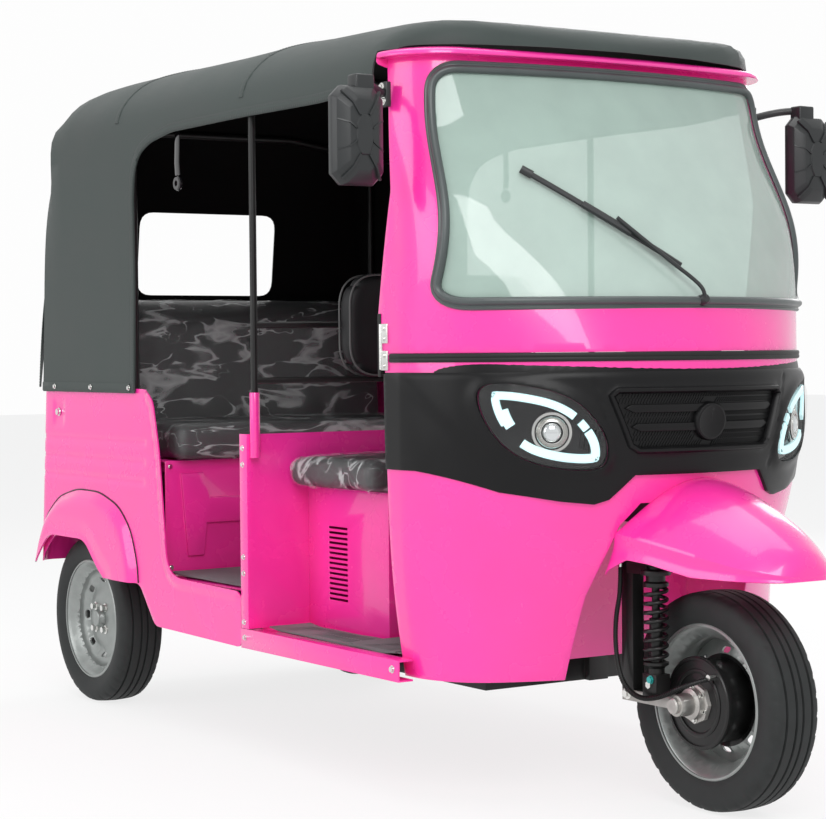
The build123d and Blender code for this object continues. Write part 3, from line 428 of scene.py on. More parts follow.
# %% Material helper
def finish(name, colour, roughness, metallic=0.0, coat=0.0, drift=0.06, grain=None, spread=0.06,
           dark=0.8, scale=9.0, **inputs):
    """Principled material with drifting colour, uneven roughness and a fine grain bump.

    grain gives the scale, the height in millimetres and the kind of the bump's pattern.
    """
    material = bpy.data.materials.new(name)
    material.use_nodes = True
    nodes, links = material.node_tree.nodes, material.node_tree.links
    shader = nodes["Principled BSDF"]
    shader.inputs["Metallic"].default_value = metallic
    shader.inputs["Coat Weight"].default_value = coat
    shader.inputs["Coat Roughness"].default_value = 0.04
    for key, value in inputs.items():
        shader.inputs[key.replace("_", " ")].default_value = value
    where = nodes.new("ShaderNodeTexCoord")
    cloud = nodes.new("ShaderNodeTexNoise")
    cloud.inputs["Scale"].default_value = scale
    cloud.inputs["Detail"].default_value = 5
    links.new(where.outputs["Object"], cloud.inputs["Vector"])
    tone = nodes.new("ShaderNodeValToRGB")
    tone.color_ramp.elements[0].position = 0.3
    tone.color_ramp.elements[1].position = 0.7
    tone.color_ramp.elements[0].color = (*[c * (1 - drift) * dark + c * (1 - dark) for c in colour], 1)
    tone.color_ramp.elements[1].color = (*[min(1, c * (1 + drift)) for c in colour], 1)
    links.new(cloud.outputs["Fac"], tone.inputs["Fac"])
    links.new(tone.outputs["Color"], shader.inputs["Base Color"])
    rough = nodes.new("ShaderNodeMapRange")
    rough.inputs["From Min"].default_value = 0.3
    rough.inputs["From Max"].default_value = 0.7
    rough.inputs["To Min"].default_value = max(0.02, roughness - spread)
    rough.inputs["To Max"].default_value = min(1, roughness + spread)
    links.new(cloud.outputs["Fac"], rough.inputs["Value"])
    links.new(rough.outputs["Result"], shader.inputs["Roughness"])
    if grain:
        size, height, kind = grain
        if kind == "voronoi":
            pattern = nodes.new("ShaderNodeTexVoronoi")
            result = pattern.outputs["Distance"]
        elif kind == "wave":
            pattern = nodes.new("ShaderNodeTexWave")
            pattern.inputs["Distortion"].default_value = 1.5
            result = pattern.outputs["Fac"]
        else:
            pattern = nodes.new("ShaderNodeTexNoise")
            pattern.inputs["Detail"].default_value = 4
            result = pattern.outputs["Fac"]
        pattern.inputs["Scale"].default_value = size
        links.new(where.outputs["Object"], pattern.inputs["Vector"])
        bump = nodes.new("ShaderNodeBump")
        bump.inputs["Strength"].default_value = 1
        bump.inputs["Distance"].default_value = height / 1000
        links.new(result, bump.inputs["Height"])
        links.new(bump.outputs["Normal"], shader.inputs["Normal"])
    return material


# %% The finishes themselves
pink_paint = finish("pink_paint", (0.96, 0.034, 0.36), 0.26, coat=0.6, drift=0.03,
                    grain=(240, 0.012, "noise"), spread=0.04)
vinyl = finish("canopy_vinyl", (0.036, 0.047, 0.044), 0.55, drift=0.14, grain=(1500, 0.10, "voronoi"),
               scale=5, Sheen_Weight=0.05, Specular_IOR_Level=0.3)
lining = finish("black_lining", (0.004, 0.004, 0.004), 0.9, drift=0.2, grain=(900, 0.08, "noise"),
                Specular_IOR_Level=0.15)
black_plastic = finish("black_plastic", (0.006, 0.006, 0.0065), 0.34, drift=0.12,
                       grain=(2200, 0.03, "noise"), spread=0.05, Specular_IOR_Level=0.2)
gloss_black = finish("gloss_black", (0.006, 0.006, 0.007), 0.09, coat=0.5, drift=0.1,
                     grain=(300, 0.01, "noise"), spread=0.03)
mirror_shell_black = finish("mirror_shell_black", (0.020, 0.022, 0.023), 0.38, drift=0.12,
                            grain=(2600, 0.05, "noise"), Specular_IOR_Level=0.4)
grey_rubber = finish("seal_rubber", (0.060, 0.072, 0.072), 0.36, drift=0.12, grain=(900, 0.03, "noise"))
black_rubber = finish("black_rubber", (0.010, 0.010, 0.010), 0.5, drift=0.2, grain=(700, 0.04, "noise"),
                      Specular_IOR_Level=0.3)
tyre_rubber = finish("tyre_rubber", (0.022, 0.024, 0.024), 0.66, drift=0.22, grain=(800, 0.08, "noise"),
                     scale=30, Specular_IOR_Level=0.3)
mat_rubber = finish("mat_rubber", (0.16, 0.16, 0.165), 0.75, drift=0.18, grain=(500, 0.15, "voronoi"))
silver_paint = finish("silver_paint", (0.30, 0.32, 0.31), 0.34, metallic=0.55, drift=0.12,
                      grain=(600, 0.03, "noise"), scale=22)
bright_steel = finish("bright_steel", (0.72, 0.72, 0.70), 0.2, metallic=1.0, drift=0.12,
                      grain=(700, 0.02, "noise"))
cast_metal = finish("cast_metal", (0.42, 0.41, 0.39), 0.42, metallic=0.85, drift=0.2,
                    grain=(420, 0.18, "noise"), scale=40)
satin_black = finish("satin_black", (0.009, 0.009, 0.009), 0.38, drift=0.2, coat=0.1,
                     grain=(260, 0.08, "noise"), Specular_IOR_Level=0.3)
seat_vinyl = finish("seat_vinyl", (0.010, 0.010, 0.011), 0.42, drift=0.15, grain=(1300, 0.08, "voronoi"),
                    Specular_IOR_Level=0.3)
piping_grey = finish("piping_grey", (0.09, 0.09, 0.09), 0.5, drift=0.1, grain=(900, 0.05, "noise"))
tail_red = finish("tail_red", (0.55, 0.012, 0.01), 0.12, coat=0.8, drift=0.1, grain=(180, 0.15, "wave"))
teal_metal = finish("teal_anodised", (0.06, 0.42, 0.40), 0.3, metallic=0.7, drift=0.1,
                    grain=(500, 0.02, "noise"))
mirror_glass = finish("mirror_glass", (0.8, 0.83, 0.84), 0.03, metallic=1.0, drift=0.02,
                      grain=(3, 0.05, "noise"), spread=0.01)


def see_through(name, colour, alpha, roughness, bump=None, highlight_streaks=None, **inputs):
    """Thin clear piece: a gloss with only part of its body showing.

    The last argument gives the scale of thin whitish lines along the creases, which are painted highlights,
    and the opacity they reach.
    """
    material = finish(name, colour, roughness, drift=0.05, grain=bump, spread=0.02, **inputs)
    shader = material.node_tree.nodes["Principled BSDF"]
    shader.inputs["Alpha"].default_value = alpha
    # Painted highlights: along thin noise lines the film turns whiter and more opaque, as if its wrinkles
    # caught the light.
    if highlight_streaks:
        size, cover = highlight_streaks
        nodes, links = material.node_tree.nodes, material.node_tree.links
        ridges, line = nodes.new("ShaderNodeTexNoise"), nodes.new("ShaderNodeMapRange")
        ridges.inputs["Scale"].default_value = size
        ridges.inputs["Detail"].default_value = 2.5
        ridges.inputs["Distortion"].default_value = 0.5
        where, stretch, patches, gap, far, wide, least = [
            nodes.new("ShaderNode" + kind)
            for kind in ("TexCoord", "Mapping", "TexNoise", "Math", "Math", "Math", "Math")]
        stretch.inputs["Rotation"].default_value = (0.5, 0.3, 0.6)
        stretch.inputs["Scale"].default_value = (0.55, 2.2, 1.5)
        links.new(where.outputs["Object"], stretch.inputs["Vector"])
        links.new(stretch.outputs["Vector"], ridges.inputs["Vector"])
        patches.inputs["Scale"].default_value = size * 0.9
        links.new(where.outputs["Object"], patches.inputs["Vector"])
        gap.operation, far.operation = "SUBTRACT", "ABSOLUTE"
        gap.inputs[1].default_value = 0.5
        links.new(ridges.outputs["Fac"], gap.inputs[0])
        links.new(gap.outputs[0], far.inputs[0])
        wide.operation, least.operation = "MULTIPLY_ADD", "MAXIMUM"   # lines thin out where patches are low
        wide.inputs[1].default_value = 0.38
        wide.inputs[2].default_value = -0.15
        least.inputs[1].default_value = 0.002
        links.new(patches.outputs["Fac"], wide.inputs[0])
        links.new(wide.outputs[0], least.inputs[0])
        links.new(least.outputs[0], line.inputs["From Max"])
        line.inputs["From Min"].default_value = 0.0
        line.inputs["To Min"].default_value = cover
        line.inputs["To Max"].default_value = alpha
        links.new(far.outputs[0], line.inputs["Value"])
        links.new(line.outputs["Result"], shader.inputs["Alpha"])
    return material


window_glass = see_through("window_glass", (0.42, 0.55, 0.49), 0.66, 0.05, (4, 0.4, "noise"),
                           coat=0.4, Specular_IOR_Level=0.5)
lamp_lens = see_through("lamp_lens", (0.02, 0.022, 0.024), 0.10, 0.03, (9, 0.15, "noise"), coat=0.25)
light_guide = finish("light_guide", (0.62, 0.90, 0.92), 0.18, coat=0.6, drift=0.05,
                     grain=(300, 0.05, "noise"), Emission_Color=(0.62, 0.95, 0.98, 1), Emission_Strength=0.55)
# Clear film; its whitish streaks are painted highlights of its wrinkles.
clear_film = see_through("clear_film", (0.85, 0.87, 0.87), 0.09, 0.12, (22, 1.2, "noise"), (9, 0.5),
                         coat=0.5)
print("materials:", len(bpy.data.materials))

# %% [markdown]
# ## Small parts that repeat
# Screws, nuts and hatching are the same small shape many times over. Geometry Nodes place one
# such shape on each point of a mesh and turn it to the point's normal, so a whole row of
# fasteners is one tree with its sizes as inputs.

# %% Screws by Geometry Nodes
def fastener_tree():
    """Tree that puts a round or six-sided head on a washer on every point along its normal."""
    tree = bpy.data.node_groups.new("fasteners", "GeometryNodeTree")
    tree.interface.new_socket("Geometry", in_out="INPUT", socket_type="NodeSocketGeometry")
    for label, kind, value in [("Radius", "NodeSocketFloat", 0.006), ("Height", "NodeSocketFloat", 0.004),
                               ("Sides", "NodeSocketInt", 24), ("Washer", "NodeSocketFloat", 1.4)]:
        socket = tree.interface.new_socket(label, in_out="INPUT", socket_type=kind)
        socket.default_value = value
    tree.interface.new_socket("Material", in_out="INPUT", socket_type="NodeSocketMaterial")
    tree.interface.new_socket("Geometry", in_out="OUTPUT", socket_type="NodeSocketGeometry")
    nodes, links = tree.nodes, tree.links
    enter, leave = nodes.new("NodeGroupInput"), nodes.new("NodeGroupOutput")
    head, plate = nodes.new("GeometryNodeMeshCylinder"), nodes.new("GeometryNodeMeshCylinder")
    links.new(enter.outputs["Sides"], head.inputs["Vertices"])
    links.new(enter.outputs["Radius"], head.inputs["Radius"])
    links.new(enter.outputs["Height"], head.inputs["Depth"])
    plate.inputs["Vertices"].default_value = 24
    wide, thin, up = [nodes.new("ShaderNodeMath") for _ in range(3)]
    for one in (wide, thin):
        one.operation = "MULTIPLY"
    links.new(enter.outputs["Radius"], wide.inputs[0])
    links.new(enter.outputs["Washer"], wide.inputs[1])
    links.new(enter.outputs["Height"], thin.inputs[0])
    thin.inputs[1].default_value = 0.3
    links.new(wide.outputs[0], plate.inputs["Radius"])
    links.new(thin.outputs[0], plate.inputs["Depth"])
    up.operation = "MULTIPLY"
    links.new(enter.outputs["Height"], up.inputs[0])
    up.inputs[1].default_value = 0.6
    lift, raised = nodes.new("ShaderNodeCombineXYZ"), nodes.new("GeometryNodeTransform")
    links.new(up.outputs[0], lift.inputs["Z"])
    links.new(head.outputs["Mesh"], raised.inputs["Geometry"])
    links.new(lift.outputs["Vector"], raised.inputs["Translation"])
    both = nodes.new("GeometryNodeJoinGeometry")
    links.new(raised.outputs["Geometry"], both.inputs["Geometry"])
    links.new(plate.outputs["Mesh"], both.inputs["Geometry"])
    facing, align = (nodes.new("GeometryNodeInputNamedAttribute"),
                     nodes.new("FunctionNodeAlignRotationToVector"))
    facing.data_type = "FLOAT_VECTOR"
    facing.inputs["Name"].default_value = "facing"
    align.axis = "Z"
    links.new(facing.outputs["Attribute"], align.inputs["Vector"])
    on, real, paint = [nodes.new(kind) for kind in
                       ("GeometryNodeInstanceOnPoints", "GeometryNodeRealizeInstances",
                        "GeometryNodeSetMaterial")]
    links.new(enter.outputs["Geometry"], on.inputs["Points"])
    links.new(both.outputs["Geometry"], on.inputs["Instance"])
    links.new(align.outputs["Rotation"], on.inputs["Rotation"])
    links.new(on.outputs["Instances"], real.inputs["Geometry"])
    links.new(real.outputs["Geometry"], paint.inputs["Geometry"])
    links.new(enter.outputs["Material"], paint.inputs["Material"])
    links.new(paint.outputs["Geometry"], leave.inputs["Geometry"])
    return tree


fasteners = fastener_tree()


def scatter(name, spots, facings, tree, **wanted):
    """Points in metres that a tree turns into small shapes; wanted gives the tree's inputs by name."""
    mesh = bpy.data.meshes.new(name)
    mesh.from_pydata([tuple(p) for p in spots], [], [])
    attribute = mesh.attributes.new("facing", "FLOAT_VECTOR", "POINT")
    attribute.data.foreach_set("vector", np.asarray(facings, np.float32).ravel())
    made = linked(name, mesh)
    modifier = made.modifiers.new(tree.name, "NODES")
    modifier.node_group = tree
    for item in tree.interface.items_tree:
        if item.item_type == "SOCKET" and item.in_out == "INPUT" and item.name in wanted:
            modifier[item.identifier] = wanted[item.name]
    return settle(made, math.radians(30))


def heads(name, spots, facings, body, material=bright_steel, radius=6, height=4, sides=24, washer=1.4,
          slot="bright_steel"):
    """Row of screw heads; spots in metres, radius and height in millimetres."""
    made = scatter(name, spots, facings, fasteners, Radius=radius / 1000, Height=height / 1000, Sides=sides,
                   Washer=washer, Material=material)
    return finish_piece(made, body, material)


print("fastener tree has", len(fasteners.nodes), "nodes")

# %% [markdown]
# ## The lofted nose
# Cowl, mask, lamps, belt strip, windscreen and header all lie on one curved front. Its plan is
# an arc across the nose, a tighter arc round the corner and a straight side, and the numbers of
# that plan change smoothly with height. One function gives any point of it, drawn proud of the
# sheet metal by a distance, so the layers follow each other exactly.

# %% Front surface
# Columns: height, centre of the nose, corner x and station, side x and station
front_sections = np.array([
    (285, 205, 400, 300, 512, 470), (460, 150, 405, 292, 538, 465), (720, 70, 442, 244, 555, 458),
    (1028, 45, 450, 238, 560, 450), (1150, 85, 450, 244, 560, 455), (1350, 195, 440, 284, 555, 480),
    (1560, 305, 420, 380, 541, 520), (1705, 380, 410, 415, 528, 548)], float)
belt = 1028
header = 1705
reach = np.array([0, 520, 760, 830])      # flat lengths to the corner, the side and the rear edge
edge_heights = (0, 1018, 1090, 1400, 1715)
edge_stations = (520, 520, 550, 500, 546)


def front_row(z, proud):
    """Plan numbers of the front at these heights: nose, radius, turn, corner arc and side."""
    z = np.asarray(z, float)
    row = []
    for column in range(1, 6):
        low = spline(front_sections[:4, 0], front_sections[:4, column], z)
        high = spline(front_sections[3:, 0], front_sections[3:, column], z)
        row.append(np.where(z <= belt, low, high))
    nose, cx, cy, sx, sy = row
    nose, cx, cy, sx = nose - proud, cx + 0.7 * proud, cy - 0.7 * proud, sx + proud
    sag = cy - nose
    radius = (cx ** 2 + sag ** 2) / (2 * sag)
    turn = np.arcsin(np.clip(cx / radius, -1, 1))
    dx, dy = sx - cx, sy - cy
    small = (dx ** 2 + dy ** 2) / (2 * (-dx * np.sin(turn) + dy * np.cos(turn)))
    mid_x, mid_y = cx - small * np.sin(turn), cy + small * np.cos(turn)
    start = turn - math.pi / 2
    end = np.arctan2(sy - mid_y, sx - mid_x)
    return nose, radius, turn, cx, small, mid_x, mid_y, start, end, sx, sy


def front(s, z, proud=0.0):
    """Points of the front. s is 0 at the middle, 1 at the corner, 2 at the side and 3 at the rear edge."""
    s, z, proud = np.broadcast_arrays(np.asarray(s, float), np.asarray(z, float), np.asarray(proud, float))
    nose, radius, turn, cx, small, mid_x, mid_y, start, end, sx, sy = front_row(z, proud)
    h = np.abs(s)
    angle = turn * np.minimum(h, 1)
    x, y = radius * np.sin(angle), nose + radius - radius * np.cos(angle)
    bend = start + (np.clip(h, 1, 2) - 1) * (end - start)
    x = np.where(h > 1, mid_x + small * np.cos(bend), x)
    y = np.where(h > 1, mid_y + small * np.sin(bend), y)
    back = np.interp(z, edge_heights, edge_stations)
    x = np.where(h > 2, sx, x)
    y = np.where(h > 2, sy + (h - 2) * (back - sy), y)
    return place(np.stack([np.sign(s) * x, y, z], -1))


def across(x, z, proud=0.0):
    """s of the points that lie at these x and heights; beyond the side it is 3."""
    x, z = np.broadcast_arrays(np.asarray(x, float), np.asarray(z, float))
    nose, radius, turn, cx, small, mid_x, mid_y, start, end, sx, sy = front_row(z, proud)
    h = np.abs(x)
    inner = np.arcsin(np.clip(h / radius, -1, 1)) / turn
    bend = -np.arccos(np.clip((h - mid_x) / small, -1, 1))
    outer = 1 + (bend - start) / (end - start)
    return np.sign(x) * np.where(h <= cx, inner, np.where(h < sx - 0.01, np.clip(outer, 1, 2), 3))


def to_flat(points):
    """x and height to flat length and height."""
    points = np.asarray(points, float)
    s = across(points[:, 0], points[:, 1])
    return np.stack([np.sign(s) * np.interp(np.abs(s), [0, 1, 2, 3], reach), points[:, 1]], 1)


def from_flat(flat):
    """s of flat points."""
    return np.sign(flat[:, 0]) * np.interp(np.abs(flat[:, 0]), reach, [0, 1, 2, 3])


def front_flat(outline, step=12):
    """Outline in x and height as an evenly walked flat outline."""
    return to_flat(walk(outline, step))


def front_piece(name, outline, holes=(), proud=0.0, wall=4.0, step=14, relief=None, edge=1.0):
    """Shell on the front inside an outline. relief gives extra millimetres at flat points."""
    flat, faces = fill(front_flat(outline), [front_flat(hole) for hole in holes], step)
    lift = proud + (relief(flat) if relief is not None else 0)
    s = from_flat(flat)
    made = shell(name, faces, front(s, flat[:, 1], lift),
                 front(s, flat[:, 1], np.minimum(lift, proud) - wall))
    return soften(made, edge) if edge else made


def front_normal(s, z):
    """Outward directions of the front."""
    step = front(s, z, 2.0) - front(s, z, 0.0)
    return step / np.linalg.norm(step, axis=-1)[..., None]


def front_line(points, proud=0.0, step=10, closed=True):
    """Path on the front along a broken line in x and height, with its normals."""
    flat = to_flat(walk(points, step, closed))
    s = from_flat(flat)
    return front(s, flat[:, 1], proud), front_normal(s, flat[:, 1])


def both(half):
    """Whole outline from its right half and the half's mirror image."""
    return list(half) + [(-x, z) for x, z in reversed(half) if x > 0]


print("nose reaches y", round(float(front(0, belt)[1]), 3))

# %% [markdown]
# ## Cowl and windscreen panel
# The lower front is one pressed sheet with an arch for the wheel, and above the belt a second
# one frames the windscreen. Both are filled outlines on the front surface with a 4 mm wall.

# %% Painted front sheets
beyond = 999                              # further out than the side: the sheet's rear edge
arch = [(-259, 285), (-240, 480), (-196, 640), (-156, 690), (156, 690), (196, 640), (240, 480), (259, 285)]
cowl = front_piece("cowl_sheet", [(-beyond, 285), *arch, (beyond, 285), (beyond, belt), (-beyond, belt)],
                   step=18)
finish_piece(cowl, "body", pink_paint, ["front_cowl"])


def screen_outline(inset, corner=62):
    """Rounded outline of the windscreen in x and height, drawn in by inset."""
    low, high = (545 - inset, 1132 + inset), (484 - inset, 1684 - inset)
    corners = [(-low[0], low[1]), low, high, (-high[0], high[1])]
    radius, points = corner - inset, []
    for i, point in enumerate(corners):
        before, after = np.array(corners[i - 1], float), np.array(corners[(i + 1) % 4], float)
        point = np.array(point, float)
        start = point + (before - point) / np.linalg.norm(before - point) * radius
        end = point + (after - point) / np.linalg.norm(after - point) * radius
        for t in np.linspace(0, 1, 9):
            points.append(tuple((1 - t) ** 2 * start + 2 * t * (1 - t) * point + t ** 2 * end))
    return points


screen_panel = front_piece("windscreen_frame_sheet",
                           [(-beyond, belt + 0.5), (beyond, belt + 0.5), (beyond, header), (-beyond, header)],
                           [screen_outline(11)], step=16)
finish_piece(screen_panel, "body", pink_paint, ["windscreen_panel"])
print("front sheets:", len(cowl.data.polygons) + len(screen_panel.data.polygons), "faces")

# %% [markdown]
# ## Windscreen and its rubber
# The glass sits in a thick rubber profile with a half-round bead outside, a groove and a thin
# inner lip. The profile is swept once round the opening, so that its highlight runs without a
# break, and the glass is a filled outline that follows the same curve.

# %% Seal, glass and belt strip
path, normals = front_line(screen_outline(9, 60), proud=0, step=9)
seal_profile = [(-10, 0.2), (-10.5, 6), (-8.5, 11), (-4, 14.5), (1, 14.5), (5.5, 11), (8, 6), (10.5, 5.4),
                (13.5, 7), (17, 5.5), (18.5, 1), (17, -3), (6, -4), (-2, -3), (-2, 0.2)]
seal = sweep("windscreen_rubber", path, normals, seal_profile, closed=True)
finish_piece(seal, "body", grey_rubber, ["windscreen_seal"])
glass = front_piece("windscreen_glass", screen_outline(13, 58), proud=-0.5, wall=4.5, step=26, edge=0)
finish_piece(glass, "body", window_glass, ["windscreen"])

strip_path = [(s, 1018.0) for s in np.linspace(-2.62, 2.62, 150)]
spots = front([s for s, _ in strip_path], 1018.0, 0.3)
away = front_normal(np.array([s for s, _ in strip_path]), np.full(150, 1018.0))
strip_profile = [(-10, 0), (-10, 3), (-7, 5.4), (-2, 5.6), (0, 4.2), (2, 5.6), (7, 5.4), (10, 3), (10, 0)]
strip = sweep("belt_rubber", spots, away, strip_profile)
finish_piece(strip, "body", black_rubber, ["belt_strip"])
print("seal goes", round(float(np.sum(np.linalg.norm(np.diff(path, axis=0), axis=1))), 2),
      "m round the glass")

# %% [markdown]
# ## The black mask
# A matt plastic cover runs round the nose from door to door. It has an opening for each lamp
# with a raised bezel, a framed grille in the middle, and a notch below for the mudguard. The
# bezels and the grille frame are relief on the same shell: height is added near an outline.

# %% Mask
mask_half = [(0, 985), (beyond, 985), (beyond, 768), (548, 764), (440, 719), (330, 698), (262, 690),
             (232, 700), (181, 754), (0, 754)]
lamp_half = [(484, 952), (440, 966), (318, 934), (252, 855), (240, 792), (262, 764), (352, 770),
             (424, 800), (470, 868)]


def lamp_outline(side, inset=0.0):
    """Smooth outline of a lamp on one side, drawn in by inset."""
    points = rounded(lamp_half, 3)
    following, before = np.roll(points, -2, axis=0), np.roll(points, 2, axis=0)
    along = following - before
    out = np.stack([along[:, 1], -along[:, 0]], 1) / np.linalg.norm(along, axis=1)[:, None]
    turn = np.sum(points[:, 0] * np.roll(points[:, 1], -1) - np.roll(points[:, 0], -1) * points[:, 1])
    points = points - out * inset * (1 if turn > 0 else -1)
    return [(side * x, z) for x, z in points]


def grille_outline(inset=0.0):
    """Outline of the grille opening, drawn in by inset."""
    half = [(0, 940 - inset), (226 - inset * 0.9, 940 - inset), (238 - inset * 1.4, 928 - inset),
            (194 - inset * 1.2, 824 + inset), (176 - inset, 812 + inset), (0, 812 + inset)]
    return both(half)


def nearness(flat, line):
    """Distance in millimetres from flat points to a flat line."""
    line = np.asarray(line)
    return np.array([math.sqrt(np.min(np.sum((line - p) ** 2, 1))) for p in flat])


lamp_edges = [to_flat(walk(lamp_outline(side), 4)) for side in (-1, 1)]
grille_edge = to_flat(walk(grille_outline(), 4))


def mask_relief(flat):
    """Raised bezels round the lamps and a lip round the grille; the side panels sink a little."""
    z, out = flat[:, 1], np.abs(flat[:, 0])
    lamps = np.minimum(nearness(flat, lamp_edges[0]), nearness(flat, lamp_edges[1]))
    lift = 7 * np.exp(-(lamps / 16) ** 2) + 6 * np.exp(-(nearness(flat, grille_edge) / 9) ** 2)
    crease = (out - 640) * 0.62 - (z - 880) * 0.78      # positive behind the line that falls to the lamp
    lift -= 5 / (1 + np.exp(-np.clip(crease / 7, -30, 30)))
    seam = np.abs((out - 262) + (z - 860) * -0.30)
    lift -= 3.0 * np.exp(-(seam / 3.0) ** 2) * ((z > 760) & (z < 975))
    rim = np.minimum(np.abs(985 - z), 40)
    return lift - 4 * np.exp(-(rim / 5) ** 2)


mask = front_piece("front_mask", both(mask_half), [lamp_outline(-1), lamp_outline(1), grille_outline()],
                   proud=9, wall=8, step=9, relief=mask_relief, edge=0.8)
finish_piece(mask, "body", black_plastic, ["front_trim"])
print("mask faces:", len(mask.data.polygons))

# %% [markdown]
# ## Lamps
# Each lamp is a dark housing under a clear cover. Inside it a C-shaped light guide runs along
# the top and another along the bottom, with a projector in a chromed ring between them. The
# guides are flat bars swept along the lamp's own outline, drawn in by a few centimetres.

# %% Lamps
lamp_parts = []
for side in (-1, 1):
    lens_outline, tray_outline = lamp_outline(side, 1.5), lamp_outline(side, 0.5)
    tray = front_piece(f"lamp_tray_{side}", tray_outline, proud=1.5, wall=1.2, step=12, edge=0)
    tray.data.materials.append(gloss_black)
    edge_flat = to_flat(walk(lens_outline, 5))

    def dome(flat):
        """The cover bulges away from its rim."""
        return 9 * (1 - np.exp(-(nearness(flat, edge_flat) / 20) ** 2))

    lens = front_piece(f"lamp_cover_{side}", lens_outline, proud=13, wall=1.6, step=10, relief=dome, edge=0)
    lens.data.materials.append(lamp_lens)
    ring = np.array(lamp_outline(side, 27))
    ring = rounded(ring, 1)
    centre = ring.mean(0)
    # Angles in front view, with the inner end of the lamp at zero
    angles = np.degrees(np.arctan2(ring[:, 1] - centre[1], -side * (ring[:, 0] - centre[0])))
    ring = ring[np.argsort(angles)]
    angles = np.sort(angles)
    guides = []
    for low, high, wide, extra in [(28, 172, 9, 0), (150, 176, 12, 5), (-150, -2, 10, 0), (-2, 18, 9, 0)]:
        part = ring[(angles >= low) & (angles <= high)]
        if extra:
            part = part + (centre - part) * 0.10
        spots, out = front_line(part, proud=10, step=8, closed=False)
        guides.append(sweep(f"guide_{side}_{low}", spots, out,
                            [(-wide, -5), (-wide, 1), (-wide + 2, 3), (wide - 2, 3), (wide, 1), (wide, -5)]))
    guide = join(f"lamp_guides_{side}", guides)
    guide.data.materials.append(light_guide)
    # Projector: a chromed ring, a chromed collar of fins and a round lens
    spot_x, spot_z = side * 356, 852
    s = across(spot_x, spot_z)
    spot, out = front(s, spot_z, 2), front_normal(np.array([s]), np.array([spot_z]))[0]
    ahead = Vector(out).to_track_quat("Z", "Y").to_matrix().to_4x4()
    pieces = []
    for label, profile, finish_used in [
            ("ring", [(-2, 40), (6, 42), (9, 40), (4, 36), (2, 32), (9, 31), (10, 29), (-2, 27)],
             bright_steel),
            ("fins", [(-2, 52), (3, 53), (3, 46), (-2, 45)], bright_steel),
            ("bulb", [(-2, 26), (5, 25), (10, 20), (13, 12), (14, 0.01), (-2, 0.01)], mirror_glass)]:
        piece = turned(f"projector_{label}_{side}", profile, (0, 0, 0), axis=2, segments=40)
        piece.data.transform(Matrix.Translation((0, -front_axle, 0)))
        piece.data.transform(Matrix.Translation(Vector(spot)) @ ahead @ Matrix.Scale(0.84, 4))
        piece.data.materials.append(finish_used)
        pieces.append(piece)
    for step in range(5):                 # stepped reflector beside the projector
        x = side * (300 - 9 * step)
        z = 842 - 4 * step
        spots, out = front_line([(x, z - 26), (x - side * 4, z + 26)], proud=3, step=8, closed=False)
        slat = sweep(f"reflector_{side}_{step}", spots, out, [(-3, -2), (-3, 3), (3, 6), (3, -2)])
        slat.data.materials.append(mirror_shell_black)
        pieces.append(slat)
    lamp_parts += [tray, guide, *pieces, lens]
lamps = join("headlamp_units", lamp_parts)
kept = list(lamps.data.materials)
finish_piece(lamps, "body", kept, ["headlamps"])
print("lamp units:", len(lamps.data.polygons), "faces,", len(kept), "finishes")

# %% [markdown]
# ## Grille
# The grille is closed: fine slanted ribs behind two bars with pointed ends, and a plain raised
# disc in the middle. The ribs are one small bar placed by Geometry Nodes along the surface.

# %% Grille plate, bars and disc
plate = front_piece("grille_plate", grille_outline(1), proud=2.5, wall=2, step=18, edge=0)
plate.data.materials.append(black_plastic)
bars = []
for height, half in [(902, 205), (860, 189)]:
    outline = [(-half - 8, height + 1), (-half + 14, height - 9), (half - 14, height - 9),
               (half + 8, height + 1),
               (half - 6, height + 9), (-half + 6, height + 9)]
    one = front_piece(f"grille_bar_{height}", outline, proud=10, wall=7, step=10, edge=2.2)
    one.data.materials.append(black_plastic)
    bars.append(one)
disc = turned("grille_disc", [(0, 44), (12, 44), (16, 41), (17, 37), (15.5, 34), (15.5, 0.01), (0, 0.01)],
              (0, 0, 0), axis=1, segments=64)
disc.data.transform(Matrix.Translation((0, -front_axle, 0)))
lean = Matrix.Rotation(math.radians(7), 4, "X")
disc.data.transform(Matrix.Translation(place((0, 50, 872)).tolist()) @ lean @ Matrix.Scale(-1, 4, (0, 1, 0)))
disc = outward(disc)
disc.data.materials.append(black_plastic)
lip_path, lip_out = front_line(grille_outline(-3), proud=12, step=8)
lip = sweep("grille_lip", lip_path, lip_out, [(-8, -8), (-7, 3), (-3, 8), (3, 8), (7, 3), (8, -8)],
            closed=True)
lip.data.materials.append(black_plastic)


